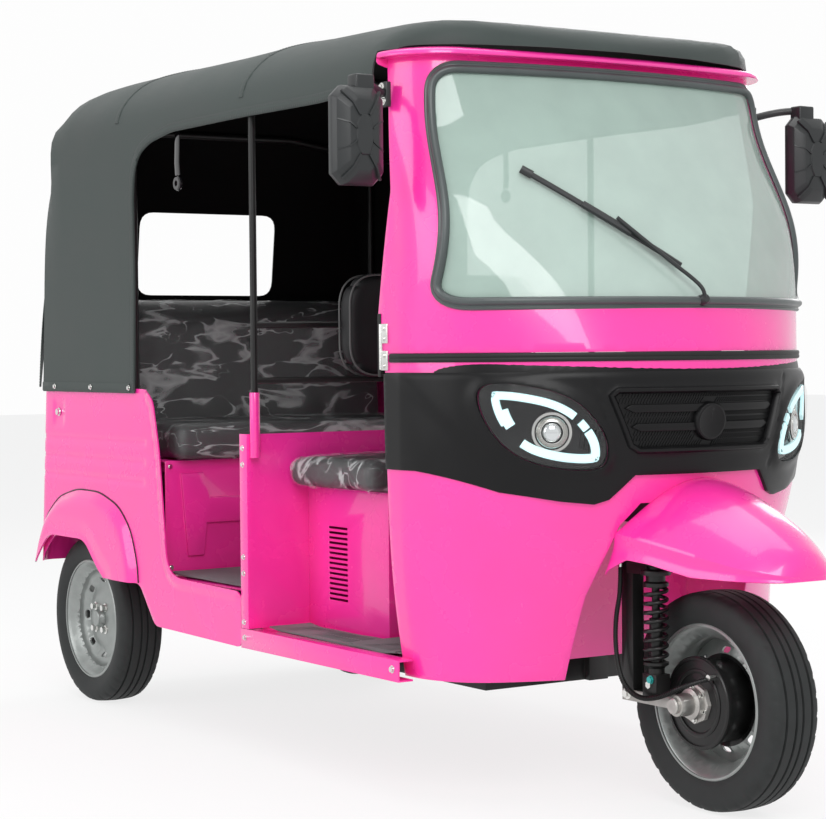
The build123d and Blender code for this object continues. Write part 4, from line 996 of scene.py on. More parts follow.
def rib_tree():
    """Tree that lays a slanted rib on every point of a mesh, turned to its normal."""
    tree = bpy.data.node_groups.new("slanted_ribs", "GeometryNodeTree")
    tree.interface.new_socket("Geometry", in_out="INPUT", socket_type="NodeSocketGeometry")
    for label, value in [("Length", 0.016), ("Width", 0.0022), ("Height", 0.003), ("Slant", 0.87)]:
        socket = tree.interface.new_socket(label, in_out="INPUT", socket_type="NodeSocketFloat")
        socket.default_value = value
    tree.interface.new_socket("Material", in_out="INPUT", socket_type="NodeSocketMaterial")
    tree.interface.new_socket("Geometry", in_out="OUTPUT", socket_type="NodeSocketGeometry")
    nodes, links = tree.nodes, tree.links
    enter, leave = nodes.new("NodeGroupInput"), nodes.new("NodeGroupOutput")
    size, cube = nodes.new("ShaderNodeCombineXYZ"), nodes.new("GeometryNodeMeshCube")
    links.new(enter.outputs["Length"], size.inputs["X"])
    links.new(enter.outputs["Width"], size.inputs["Y"])
    links.new(enter.outputs["Height"], size.inputs["Z"])
    links.new(size.outputs["Vector"], cube.inputs["Size"])
    facing, align = (nodes.new("GeometryNodeInputNamedAttribute"),
                     nodes.new("FunctionNodeAlignRotationToVector"))
    facing.data_type = "FLOAT_VECTOR"
    facing.inputs["Name"].default_value = "facing"
    align.axis = "Z"
    links.new(facing.outputs["Attribute"], align.inputs["Vector"])
    slope, euler = nodes.new("ShaderNodeCombineXYZ"), nodes.new("FunctionNodeEulerToRotation")
    links.new(enter.outputs["Slant"], slope.inputs["Z"])
    links.new(slope.outputs["Vector"], euler.inputs["Euler"])
    turn = nodes.new("FunctionNodeRotateRotation")
    turn.rotation_space = "LOCAL"
    links.new(align.outputs["Rotation"], turn.inputs["Rotation"])
    links.new(euler.outputs["Rotation"], turn.inputs["Rotate By"])
    on, real, paint = [nodes.new(kind) for kind in
                       ("GeometryNodeInstanceOnPoints", "GeometryNodeRealizeInstances",
                        "GeometryNodeSetMaterial")]
    links.new(enter.outputs["Geometry"], on.inputs["Points"])
    links.new(cube.outputs["Mesh"], on.inputs["Instance"])
    links.new(turn.outputs["Rotation"], on.inputs["Rotation"])
    links.new(on.outputs["Instances"], real.inputs["Geometry"])
    links.new(real.outputs["Geometry"], paint.inputs["Geometry"])
    links.new(enter.outputs["Material"], paint.inputs["Material"])
    links.new(paint.outputs["Geometry"], leave.inputs["Geometry"])
    return tree


ribs = rib_tree()


def rib_rows(name, spots, facings, material, length=16, width=2.2, height=3, slant=0.87):
    """Small ribs on points in metres; sizes in millimetres."""
    return scatter(name, spots, facings, ribs, Length=length / 1000, Width=width / 1000, Height=height / 1000,
                   Slant=slant, Material=material)


columns, levels = np.arange(-222, 223, 7.0), [932, 919, 889, 875, 848, 836, 824]
points = np.array([(x, z) for z in levels for x in columns])
points = points[within(grille_outline(7), points)]
points = points[np.hypot(points[:, 0], points[:, 1] - 872) > 50]
s = across(points[:, 0], points[:, 1])
hatch = rib_rows("grille_hatch", front(s, points[:, 1], 3), front_normal(s, points[:, 1]), black_plastic,
                 length=13)
grille = join("grille_unit", [plate, *bars, disc, lip, hatch])
finish_piece(grille, "body", black_plastic, ["grille"])
print("grille ribs:", len(points))

# %% [markdown]
# ## Wiper
# A capped spindle below the glass carries a bent arm, and the arm holds a long blade across
# the screen. The arm is a round bar and the blade a flat swept bar, thicker at its holder.

# %% Wiper
arm_points = [(9, 66, 1146), (4, 60, 1160), (-6, 70, 1182), (-60, 101, 1230), (-120, 138, 1288),
              (-165, 163, 1330)]
arm = bar("wiper_arm", arm_points, 4.6)
cap = turned("wiper_cap", [(-10, 0.01), (-10, 9), (-6, 12), (14, 13), (14, 0.01)], (0, 0, 0), axis=1,
             segments=32)
cap.data.transform(Matrix.Translation((0, -front_axle, 0)))
cap.data.transform(Matrix.Translation(place((9, 70, 1145)).tolist()) @ Matrix.Rotation(math.radians(-17), 4,
        "X"))
blade_line = [(-331, 1437), (-24, 1222)]
spots, out = front_line(blade_line, proud=9, step=12, closed=False)
blade = sweep("wiper_blade", spots, out, [(-6, 1), (-6.5, 4), (-3, 7), (3, 7), (6.5, 4), (6, 1), (1, 0),
                                          (0.8, -6),
                                         (-0.8, -6), (-1, 0)])
holder_spots, holder_out = front_line([(-222, 1361), (-128, 1295)], proud=16, step=8, closed=False)
holder = sweep("wiper_holder", holder_spots, holder_out,
               [(-8, -2), (-8, 4), (-4, 8), (4, 8), (8, 4), (8, -2)])
tip_spots, tip_out = front_line([(-337, 1441), (-316, 1427)], proud=10, step=6, closed=False)
tip = sweep("wiper_tip", tip_spots, tip_out, [(-9, -1), (-9, 6), (-5, 9), (5, 9), (9, 6), (9, -1)])
wiper = join("wiper_assembly", [arm, cap, blade, holder, tip])
finish_piece(wiper, "body", mirror_shell_black, ["wiper"])
print("wiper:", len(wiper.data.vertices), "points")

# %% [markdown]
# ## Header over the windscreen
# The pink brim above the glass is a pressed lip with a rolled edge. It follows the front at the
# height of the header, so it is swept along that plan.

# %% Header brim
line = np.linspace(-2.9, 2.9, 120)
spots = front(line, header - 1.0, 0)
spots[:, 2] = header / 1000
away = front_normal(line, np.full(120, header - 1.0))
away[:, 2] = 0
brim_profile = [(0, -40), (0, 6), (2, 22), (1, 28), (3, 30), (8, 29.6), (13, 26), (16, 18), (20, 4),
                (20, -40)]
brim_profile = [(height, reach_out) for height, reach_out in brim_profile]
tangent = np.gradient(spots, axis=0)
tangent /= np.linalg.norm(tangent, axis=1)[:, None]
flip = np.sign(np.cross(tangent[60], away[60])[2])
brim = sweep("roof_brim", spots, away, [(flip * h, o) for h, o in brim_profile])
finish_piece(brim, "body", pink_paint, ["roof_header"])
print("brim top at", round(max(v.co.z for v in brim.data.vertices), 3))

# %% [markdown]
# ## Mudguard
# The beak over the steered wheel is a shell with a crease along each side. Its cross-section is
# an arch that grows from the tip to the cowl, and each lengthwise row ends where it meets the
# cowl, so that the joint stays closed.

# %% Mudguard
# Columns: station, half width, height of the shoulder, height of the crown
guard_rows = np.array([(-280, 62, 548, 584), (-215, 118, 560, 634), (-110, 158, 580, 690),
                       (60, 196, 612, 742),
                       (215, 212, 630, 735)], float)
guard_low = [(-290, 536), (-80, 538), (30, 560), (95, 566), (150, 540), (190, 500), (225, 488)]
turns = np.linspace(-1, 1, 33)


def guard_point(station, turn):
    """Points of the guard's outer surface at stations; turn runs from one lower edge to the other."""
    half, shoulder, crown = [spline(guard_rows[:, 0], guard_rows[:, i], station) for i in (1, 2, 3)]
    tip = np.clip((station + 280) / 26, 0, 1)
    ease = np.sqrt(np.clip(1 - (1 - tip) ** 2, 0, 1))
    low = np.interp(station, [p[0] for p in guard_low], [p[1] for p in guard_low])
    half, crown = half * (0.55 + 0.45 * ease), shoulder + (crown - shoulder) * (0.35 + 0.65 * ease)
    h = np.abs(turn)
    over = np.clip(1 - (h / 0.72), 0, 1)
    angle = (1 - over) * math.pi / 2
    x = np.where(h < 0.72, half * np.sin(angle) ** 0.92 * (1 - 0.03 * np.sin(2 * angle)), half)
    z = np.where(h < 0.72, shoulder + (crown - shoulder) * (1 - (x / half) ** 2.15),
                 shoulder + (low - shoulder) * (h - 0.72) / 0.28)
    x = np.where(h >= 0.72, half - 5 * np.sin((h - 0.72) / 0.28 * math.pi), x)
    return np.stack([np.sign(turn) * x, station + 0 * x, z], -1)


ends = []
for turn in turns:
    stations = np.linspace(-100, 330, 400)
    points = guard_point(np.clip(stations, -280, 215), np.full(400, turn))
    points[:, 1] = stations
    surface = front(across(points[:, 0], points[:, 2]), points[:, 2])[:, 1]
    ahead = (place(points)[:, 1] < surface)
    ends.append(stations[ahead][-1] if ahead.any() else 0)
rows_out = []
for share in np.concatenate([np.linspace(0, 0.06, 9)[:-1], np.linspace(0.06, 1, 40)]):
    row = []
    for turn, end in zip(turns, ends):
        station = -280 + (end + 280) * share
        point = guard_point(np.clip(np.array([station]), -280, 215), np.array([turn]))[0]
        point[1] = station
        row.append(point)
    rows_out.append(row)
guard = grid("mudguard_shell", place(np.array(rows_out)))
guard_tip = bmesh.new()
guard_tip.from_mesh(guard.data)
guard_tip.verts.ensure_lookup_table()
guard_tip.faces.new([guard_tip.verts[i] for i in range(len(turns))])
bmesh.ops.recalc_face_normals(guard_tip, faces=guard_tip.faces)
top = max(guard_tip.faces, key=lambda face: face.calc_center_median().z)
if top.normal.z < 0:
    bmesh.ops.reverse_faces(guard_tip, faces=guard_tip.faces)
guard_tip.to_mesh(guard.data)
guard_tip.free()
wall = guard.modifiers.new("wall", "SOLIDIFY")
wall.thickness = 0.004
wall.offset = -1
settle(guard)
guard = soften(guard, 1.2)
finish_piece(guard, "body", pink_paint, ["front_mudguard"])
print("mudguard meets the cowl at stations", round(min(ends)), "to", round(max(ends)))

# %% [markdown]
# ## Canopy
# One sheet of dark vinyl is drawn over the bows from the header down to the rear panel. It has
# no flat panels, so its form is written as a smooth maximum of a few plain limits: the sides,
# the crown, the roof line, the rear slope and the bow of the front edge. Rays from inside find
# the surface. The sheet then gets its thickness, and the side openings and the rear window are
# cut out of it.

# %% Canopy form
canopy_half = 568
hem_height = 923
roof_line = np.array([(300, 1740), (330, 1754), (380, 1780), (430, 1792), (590, 1808), (960, 1826),
                      (1120, 1846),
                      (1200, 1852), (1300, 1844), (1421, 1840), (1653, 1848), (1860, 1868), (1982, 1877),
                      (2125, 1870), (2250, 1826), (2330, 1754), (2400, 1620)], float)
front_bow = [(0, 330), (220, 346), (410, 398), (500, 462), (568, 540), (700, 700)]
blend_width = 15.0


def canopy_field(points):
    """Positive outside the canopy, for points as x, station and height."""
    x, y, z = np.abs(points[..., 0]), points[..., 1], points[..., 2]
    roof = np.interp(y, roof_line[:, 0], roof_line[:, 1])
    rear = np.interp(z, [hem_height, 1250, 1620, 1754, 1826], [2477, 2448, 2400, 2330, 2250])
    drape = 5 * np.sin(np.clip((z - hem_height) / 700, 0, 1) * math.pi) * (y > 1780)
    limits = [x - canopy_half + drape, z - roof, z - (1884 - 72 * (x / 438) ** 2),
              (x - 520) * 0.76 + (z - 1764) * 0.66, (y - rear) * 0.98,
              np.interp(x, [p[0] for p in front_bow], [p[1] for p in front_bow]) - y]
    stack = np.stack(limits)
    top = stack.max(0)
    return top + blend_width * np.log(np.sum(np.exp((stack - top) / blend_width), 0))


def canopy_hit(origins, directions):
    """Points where rays from inside leave the canopy."""
    origins, directions = np.asarray(origins, float), np.asarray(directions, float)
    near, far = np.zeros(len(origins)), np.full(len(origins), 2600.0)
    for _ in range(36):
        middle = (near + far) / 2
        out = canopy_field(origins + directions * middle[:, None]) > 0
        far, near = np.where(out, middle, far), np.where(out, near, middle)
    return origins + directions * far[:, None]


nose_turn, tail_turn = np.radians(np.linspace(-90, 0, 15)), np.radians(np.linspace(0, 90, 15))
half_loop = [(560, turn) for turn in nose_turn] + [(y, 0.0) for y in np.linspace(560, 2150, 60)[1:-1]] \
    + [(2150, turn) for turn in tail_turn]
loop = [(y, math.cos(t), math.sin(t)) for y, t in half_loop]
loop += [(y, -c, s) for y, c, s in reversed(loop[1:-1])]
levels = [("flat", z) for z in np.concatenate([[hem_height, 935], np.linspace(960, 1600, 24)])]
levels += [("rise", (1.0, rise)) for rise in np.linspace(0, 1, 9)[1:]]
levels += [("rise", (wide, 1.0)) for wide in np.linspace(1, 0, 17)[1:]]
ray_base = 1600.0
origins, directions = [], []
for y, c, s in loop:
    for kind, value in levels:
        if kind == "flat":
            origins.append((0, y, value))
            directions.append((c, s, 0))
        else:
            wide, rise = value
            origins.append((0, y, ray_base))
            vector = np.array((c * wide * 568, s * wide * 568, rise * 245))
            directions.append(vector / np.linalg.norm(vector))
skin = canopy_hit(origins, directions).reshape(len(loop), len(levels), 3)
canopy = outward(grid("canopy_sheet", place(skin), close_rows=True))
if max(canopy.data.polygons, key=lambda face: face.center.z).normal.z < 0:
    canopy.data.flip_normals()


def cutter(name, outline, low, high, axis=0):
    """Closed prism through an outline: along x (station, height) or along the length (x, height)."""
    rows = []
    for depth in (low, high):
        rows.append([(depth, a, b) if axis == 0 else (a, depth, b) for a, b in outline])
    return outward(grid(name, place(np.array(rows, float)), close_columns=True, caps=True))


def soft_corners(points, radius, closed=True, steps=6):
    """Outline with each corner rounded by about a radius."""
    points = [np.asarray(p, float) for p in points]
    result = []
    for i, point in enumerate(points):
        if not closed and i in (0, len(points) - 1):
            result.append(point)
            continue
        before, after = points[i - 1] - point, points[(i + 1) % len(points)] - point
        reach_before, reach_after = np.linalg.norm(before), np.linalg.norm(after)
        start = point + before / reach_before * min(radius, 0.45 * reach_before)
        end = point + after / reach_after * min(radius, 0.45 * reach_after)
        result += [(1 - t) ** 2 * start + 2 * t * (1 - t) * point + t ** 2 * end for t in np.linspace(0, 1,
                steps)]
    return [tuple(p) for p in result]


opening_edge = [(1804, 900), (1804, 1470), (1790, 1540), (1752, 1584), (1690, 1608), (1564, 1626),
                (1169, 1629),
                (800, 1626), (640, 1632), (560, 1652), (528, 1700)]
opening = soft_corners([(100, 860)] + [(1804, 860)] + opening_edge[1:] + [(500, 1730), (100, 1730)], 26)
rear_window = soft_corners([(-240, 1215), (240, 1215), (240, 1470), (-240, 1470)], 46)


def subtract(made, cutters):
    """Cuts prisms out of a piece."""
    for one in cutters:
        cut = made.modifiers.new("cut", "BOOLEAN")
        cut.object = one
        cut.operation = "DIFFERENCE"
        cut.solver = "EXACT"
    settle(made)
    for one in cutters:
        bpy.data.objects.remove(one)
    return made


canopy.data.materials.append(vinyl)
canopy.data.materials.append(lining)
wall = canopy.modifiers.new("cloth", "SOLIDIFY")
wall.thickness = 0.004
wall.offset = -1
wall.material_offset = 1
wall.material_offset_rim = 0
subtract(canopy, [cutter("side_cut", opening, -700, 700),
                  cutter("front_cut", [(-700, 800), (700, 800), (700, 1724), (-700, 1724)], 200, 560, axis=1),
                  cutter("window_cut", rear_window, 2300, 2600, axis=1)])
finish_piece(canopy, "body", [vinyl, lining], ["canopy"])

# %% [markdown]
# ## Seams and hems of the canopy
# Flat-felled seams cross the roof at the bows, a wide turned hem runs round each opening, and a
# border is sewn round the rear window. Each is a low band swept along the sheet, with a row of
# stitches placed by the rib tree.

# %% Canopy bands and stitches
band_profile = [(-11, -2), (-11, 0.6), (-9, 1.6), (9, 1.6), (11, 0.6), (11, -2)]
bands, stitch_spots, stitch_normals = [], [], []


def canopy_band(name, origins, directions, profile=band_profile, stitches=(-7.5, 7.5)):
    """Band along the canopy where rays hit it, with stitches beside its edges."""
    path = canopy_hit(origins, directions)
    step = canopy_hit(origins, directions) + 0
    small = 2.0
    gradient = np.stack([(canopy_field(path + np.eye(3)[i] * small)
                          - canopy_field(path - np.eye(3)[i] * small))
                         for i in range(3)], 1)
    gradient /= np.linalg.norm(gradient, axis=1)[:, None]
    made = sweep(name, place(path), gradient, profile)
    bands.append(made)
    along = np.gradient(path, axis=0)
    along /= np.linalg.norm(along, axis=1)[:, None]
    side = np.cross(along, gradient)
    lengths = np.concatenate([[0], np.cumsum(np.linalg.norm(np.diff(path, axis=0), axis=1))])
    marks = np.arange(6, lengths[-1], 9.0)
    for offset in stitches:
        row = path + side * offset + gradient * 1.7
        stitch_spots.append(np.stack([np.interp(marks, lengths, row[:, i]) for i in range(3)], 1))
        stitch_normals.append(np.stack([np.interp(marks, lengths, gradient[:, i]) for i in range(3)], 1))
    return made


for station in (1180, 1900):
    arc = np.radians(np.linspace(4, 176, 90))
    canopy_band(f"seam_{station}", [(0, station, 1640)] * 90,
                [(math.cos(a), 0, math.sin(a)) for a in arc])
for side in (-1, 1):
    hem_line = walk(soft_corners([(1817, 930)] + [(s + 13, z) for s, z in opening_edge[1:2]]
                                 + [(1802, 1546), (1759, 1596), (1694, 1621), (1566, 1639), (1169, 1642),
                                    (800, 1639), (660, 1645), (590, 1664)], 30, closed=False), 14,
                                    closed=False)
    canopy_band(f"hem_{side}", [(0, s, z) for s, z in hem_line], [(side, 0, 0)] * len(hem_line))
    rise = np.linspace(0, 1, 60)
    canopy_band(f"corner_{side}", [(0, 2150, 935 + 640 * t) for t in rise],
                [(side * math.cos(math.radians(29)), math.sin(math.radians(29)), 0)] * 60)
low_turns = np.concatenate([[(y, 0.0) for y in np.linspace(1830, 2150, 24)][:-1],
                            [(2150, t) for t in tail_turn]])
lower = [(y, math.cos(t), math.sin(t)) for y, t in low_turns]
lower += [(y, -c, s) for y, c, s in reversed(lower[:-1])]
canopy_band("lower_hem", [(0, y, 938) for y, c, s in lower], [(c, s, 0) for y, c, s in lower],
            [(-13, -2), (-13, 1), (-11, 2.2), (11, 2.2), (13, 1), (13, -2)], stitches=(9.0,))
border = walk(soft_corners([(-256, 1199), (256, 1199), (256, 1486), (-256, 1486)], 56), 12)
canopy_band("window_border", [(x, 2150, z) for x, z in np.vstack([border, border[:2]])],
            [(0, 1, 0)] * (len(border) + 2))
bands_made = join("canopy_bands", bands)
finish_piece(bands_made, "body", vinyl)
stitches = rib_rows("canopy_stitches", place(np.vstack(stitch_spots)), np.vstack(stitch_normals), vinyl,
                    length=5, width=1.1, height=1.0, slant=0.0)
finish_piece(stitches, "body", piping_grey)
print("stitches:", sum(len(s) for s in stitch_spots))

# %% [markdown]
# ## Rear body
# The rear is one pressing that wraps from door to door round the back. It is laid out flat,
# filled, and wrapped round the corners. Shallow grooves, a recessed panel for the lock and a
# raised bead along the opening are relief on the same shell.

# %% Rear body
corner_radius = 60
corner_arc = corner_radius * math.pi / 2
flat_half = 560 - corner_radius


def tub(w, z, proud=0.0):
    """Points of the rear body at flat lengths from the middle of the back."""
    w, z, proud = np.broadcast_arrays(np.asarray(w, float), np.asarray(z, float), np.asarray(proud, float))
    back = np.interp(z, [278, 935], [2520, 2466])
    h = np.abs(w)
    turn = np.clip((h - flat_half) / corner_radius, 0, math.pi / 2)
    x = np.where(h < flat_half, h, flat_half + (corner_radius + proud) * np.sin(turn))
    y = back - corner_radius + (corner_radius + proud) * np.cos(turn) \
        - np.maximum(0, h - flat_half - corner_arc)
    return place(np.stack([np.sign(w) * x, y, z], -1))


def tub_flat(station, z):
    """Flat length of a point on the side or the corner."""
    back = np.interp(z, [278, 935], [2520, 2466])
    over = station - (back - corner_radius)
    if over <= 0:
        return flat_half + corner_arc - over
    return flat_half + corner_radius * math.acos(min(1, over / corner_radius))


tub_side = [(2476, 406), (2413, 463), (2366, 496), (2120, 496), (2036, 421), (1990, 392), (1800, 392),
            (1706, 284), (1216, 278), (1216, 422), (1560, 428), (1600, 440), (1625, 470), (1664, 770),
            (1700, 905),
            (1745, 935), (2100, 938)]
side_flat = [(tub_flat(s, z), z) for s, z in soft_corners(tub_side, 22, closed=False)]
tub_outline = [(0, 403)] + side_flat + [(0, 938)] + [(-w, z) for w, z in reversed(side_flat)]
tub_outline = [p for i, p in enumerate(tub_outline) if i == 0 or math.dist(p, tub_outline[i - 1]) > 0.5]
opening_bead = walk([(tub_flat(s, z), z) for s, z in
                     soft_corners([(1240, 426), (1560, 428), (1600, 440), (1625, 470), (1664, 770),
                                   (1700, 905),
                                   (1720, 921)], 22, closed=False)], 4, closed=False)
lock_panel = np.array([(tub_flat(2330, 840), 840)])[0]


def ramp(value, width):
    """Soft step from 0 to 1 over a width in millimetres."""
    return 1 / (1 + np.exp(-np.clip(value * 4 / width, -30, 30)))


groove_heights = (787, 732, 677)


def tub_relief(flat):
    """Bead, grooves and the recess of the lock."""
    w, z = np.abs(flat[:, 0]), flat[:, 1]
    distance = nearness(np.stack([w, z], 1), opening_bead)
    lift = 4.5 * ramp(26 - distance, 7) - 1.5 * np.exp(-((distance - 31) / 4) ** 2)
    quarter = ramp(tub_flat(1760, 700) - w, 14)
    for height in groove_heights:
        lift -= 3.5 * np.exp(-((z - height) / 7) ** 2) * quarter
    recess = np.maximum(np.abs(w - lock_panel[0]) - 34, np.abs(z - 862) - 34)
    return lift - 3.5 * ramp(-recess, 6)


flat, faces = fill(tub_outline, [], 11, groove_heights)
lift = tub_relief(flat)
rear = shell("rear_body_sheet", faces, tub(flat[:, 0], flat[:, 1], lift),
             tub(flat[:, 0], flat[:, 1], lift - 4))
rear = soften(rear, 1.0)
finish_piece(rear, "body", pink_paint, ["rear_body"])
print("rear body:", len(rear.data.polygons), "faces")

# %% [markdown]
# ## Rear fenders
# Each fender is a separate pressed arch with a rounded shoulder, a rolled lip round the wheel
# and a dark seam where it meets the side sheet.

# %% Fenders
fender_outer = [(1806, 394), (1812, 450), (1850, 540), (1925, 602), (2050, 636), (2200, 638), (2330, 610),
                (2420, 552), (2480, 470), (2512, 400)]
fender_inner = [(2474, 406), (2413, 463), (2366, 496), (2120, 496), (2036, 421), (1992, 394)]
outer_line = np.array(soft_corners(fender_outer, 40, closed=False))
inner_line = np.array(soft_corners(fender_inner, 40, closed=False))
outer_walk, inner_walk = walk(outer_line, 5, closed=False), walk(inner_line, 5, closed=False)
flat, faces = fill(np.vstack([outer_line, inner_line]), [], 9)
to_outer, to_inner = nearness(flat, outer_walk), nearness(flat, inner_walk)
rise = 22 * (1 - np.exp(-(to_outer / 17) ** 1.6)) + 3.0 * np.exp(-(to_inner / 8) ** 2) \
    - 5 * np.clip(1 - to_inner / 60, 0, 1)
fenders, seams = [], []
for side in (-1, 1):
    outer = place(np.stack([side * (561 + rise), flat[:, 0], flat[:, 1]], 1))
    inner = place(np.stack([side * (np.full(len(flat), 560.4) + np.maximum(0, rise - 5)), flat[:, 0],
                            flat[:, 1]], 1))
    fenders.append(soften(shell(f"fender_{side}", faces, outer, inner), 1.2))
    spots = place(np.stack([np.full(len(outer_line), side * 561.0), outer_line[:, 0], outer_line[:, 1]], 1))
    seams.append(sweep(f"fender_seam_{side}", spots, [(side, 0, 0)] * len(spots),
                       [(-2.2, -1), (-2.2, 0.8), (0, 2.0), (2.2, 0.8), (2.2, -1)]))
fender = join("fender_sheets", fenders)
finish_piece(fender, "body", pink_paint, ["rear_fenders"])
seam = join("fender_seams", seams)
finish_piece(seam, "body", black_rubber)
print("fenders stand out to x", round(max(v.co.x for v in fender.data.vertices), 3))

# %% [markdown]
# ## Wheels
# The tyres are narrow ribbed ones on small steel rims. A tyre is a profile turned about its
# axle; three grooves are in the profile, and the sipes are pressed into the surface by moving
# its points, so that they are real shape and stay out of the way of the sidewall.

# %% Tyres
tyre_profile = [(-50, 170), (-57, 176), (-62, 188), (-66.4, 205), (-66.6, 216), (-64.5, 228), (-60, 236.5),
                (-54, 241.5), (-46, 244), (-40, 244.8), (-38.4, 240), (-34.6, 240), (-33, 245.4),
                (-22, 246.2),
                (-13, 246.6), (-11.4, 241.5), (-7.6, 241.5), (-6, 246.9), (0, 247)]
tyre_profile += [(-o, r) for o, r in reversed(tyre_profile[:-1])]
inner_profile = [(52, 168.4), (40, 170), (0, 172), (-40, 170), (-52, 168.4)]
around = 288


def tyre(name, centre, body, node):
    """Tyre with grooves and sipes about an axle along x."""
    profile = np.array(tyre_profile + inner_profile, float)
    rows = []
    for index in range(around):
        turn = 2 * math.pi * index / around
        radius = profile[:, 1].copy()
        offset = profile[:, 0]
        phase = (index + np.abs(offset) * 0.12) % 8
        shoulder = (np.abs(offset) > 41) & (np.abs(offset) < 63) & (radius > 225)
        radius = radius - np.where(shoulder & (phase < 1.2), 2.4, 0)
        ring = np.zeros((len(profile), 3))
        ring[:, 0] = centre[0] + offset
        ring[:, 1] = centre[1] + radius * math.cos(turn)
        ring[:, 2] = centre[2] + radius * math.sin(turn)
        rows.append(ring)
    made = outward(grid(name, place(np.array(rows)), close_rows=True, close_columns=True))
    smooth(made, math.radians(50))
    return finish_piece(made, body, tyre_rubber, [node])


wheels = [("front", (0, 0, 247), "front_wheel", 1), ("rear_left", (445, 2250, 247), "rear_wheel_left", 1),
          ("rear_right", (-445, 2250, 247), "rear_wheel_right", -1)]
for name, centre, body, out in wheels:
    tyre(f"{name}_tyre_tread", centre, body, f"{name}_tyre")
print("tyres: three, with", around, "steps around")

# %% [markdown]
# ## Rims
# The rim is a rolled steel barrel with a stamped disc, eight hand holes, four nuts and a raised
# centre. The brake drum behind it is black. The CAD rim already has that section, so a merged
# copy keeps it, and its faces near the drum take the black finish.

# %% Rims, hub caps, nuts and lips
for name, centre, body, out in wheels:
    rim = cad_copy(f"{name}_rim_steel", f"{name}_rim", 0, 34)
    middle = place(centre)
    for face in rim.data.polygons:
        away_x = (face.center.x - middle[0]) * out * 1000
        radius = math.hypot(face.center.y - middle[1], face.center.z - middle[2]) * 1000
        face.material_index = 1 if (radius < 96 and away_x < 15 and not (away_x > 9 and radius > 58)) else 0
    finish_piece(rim, body, [silver_paint, satin_black], [f"{name}_rim"])
    hub = turned(f"{name}_hub_cap", [(20, 0.01), (20, 31), (27, 30), (33, 26), (41, 24), (44, 20),
                                     (44, 0.01)],
                 (0, 0, 0), axis=0, segments=40)
    hub.data.transform(Matrix.Translation((0, -front_axle, 0)))
    hub.data.transform(Matrix.Translation(middle.tolist()) @ Matrix.Scale(out, 4, (1, 0, 0)))
    hub = outward(hub)
    finish_piece(hub, body, silver_paint)
    turns = [math.radians(45 + 90 * i) for i in range(4)]
    spots = [(middle[0] + out * 0.0235, middle[1] + 0.046 * math.cos(t),
              middle[2] + 0.046 * math.sin(t)) for t in turns]
    heads(f"{name}_wheel_nuts", spots, [(out, 0, 0)] * 4, body, radius=9.5, height=13, sides=6, washer=1.35,
          slot="rim_steel")
    lip_rows = []
    for offset in (-55.5, 55.5):
        profile = [(offset - 2.6, 169), (offset - 2.6, 173.5), (offset - 1, 175.4), (offset + 1, 175.4),
                   (offset + 2.6, 173.5), (offset + 2.6, 169)]
        piece = turned(f"{name}_lip_{offset}", profile, (0, 0, 0), axis=0, segments=96)
        piece.data.transform(Matrix.Translation((0, -front_axle, 0)))
        piece.data.transform(Matrix.Translation(middle.tolist()))
        lip_rows.append(piece)
    lip_made = join(f"{name}_rim_lips", lip_rows)
    finish_piece(lip_made, body, silver_paint)
print("rims done")

# %% [markdown]
# ## Front suspension
# One leg stands beside the wheel. In front of it a coil spring over a damper pushes on a
# leading link, and the link holds the axle block and the brake's backing plate. The spring is a
# real helix: a tube that follows points which climb as they turn.

# %% Leg, spring and link
shock_x, shock_station = -118, 92
coil = []
turns_count, coil_low, coil_high = 8.5, 330, 506
for index in range(int(turns_count * 24) + 1):
    share = index / (turns_count * 24)
    angle = 2 * math.pi * turns_count * share
    coil.append((shock_x + 25 * math.cos(angle), shock_station + 25 * math.sin(angle),
                 coil_low + (coil_high - coil_low) * share))
spring = bar("spring_coil", coil, 4.6, 12, order=4)
damper = turned("damper", [(306, 0.01), (306, 19), (318, 19), (322, 23), (326, 29), (332, 29), (333, 15),
                           (430, 15),
                           (432, 9), (500, 9), (502, 29), (510, 29), (514, 22), (528, 22), (528, 0.01)],
                (shock_x, shock_station, 0), axis=2, segments=40)
unit = join("shock_unit", [spring, damper])
finish_piece(unit, "fork", satin_black, ["shock_absorber"])
stack = turned("shock_top_stack", [(528, 0.01), (528, 30), (538, 31), (541, 27), (541, 17), (546, 17),
                                   (549, 22),
                                   (553, 22), (556, 16), (560, 15), (564, 15), (564, 8), (582, 8), (584, 6),
                                   (584, 0.01)], (shock_x, shock_station, 0), axis=2, segments=36)
finish_piece(stack, "fork", satin_black)
nut = turned("shock_top_nut", [(564, 0.01), (564, 12.5), (574, 12.5), (575, 11), (575, 0.01)],
             (shock_x, shock_station, 0), axis=2, segments=6)
finish_piece(nut, "fork", bright_steel)
leg = cad_copy("fork_leg_casting", "fork_leg", 2.0)
finish_piece(leg, "fork", satin_black, ["fork_leg"])
link = cad_copy("link_casting", "axle_link", 1.6)
middle = place((0, 0, 247))
for face in link.data.polygons:
    radius = math.hypot(face.center.y - middle[1], face.center.z - middle[2]) * 1000
    plate_side = face.center.x * 1000 > -77.5
    flange = face.center.x * 1000 > -88
    face.material_index = 1 if plate_side else 0
    if not plate_side and not flange and radius > 60:
        face.material_index = 1
finish_piece(link, "fork", [cast_metal, satin_black], ["axle_link"])
axle_block = turned("axle_block", [(-152, 0.01), (-152, 15), (-149, 18), (-134, 18), (-132, 24), (-112, 26),
                                   (-104, 25), (-100, 34), (-88, 36), (-86, 36), (-86, 0.01)], (0, 0, 247),
                                   axis=0,
                    segments=40)
finish_piece(axle_block, "fork", cast_metal)
turns = [math.radians(22 + 60 * i) for i in range(6)]
heads("flange_bolts", [tuple(place((-87.5, 37 * math.cos(t), 247 + 37 * math.sin(t)))) for t in turns],
      [(-1, 0, 0)] * 6, "fork", radius=4.6, height=6, sides=6, washer=1.3)
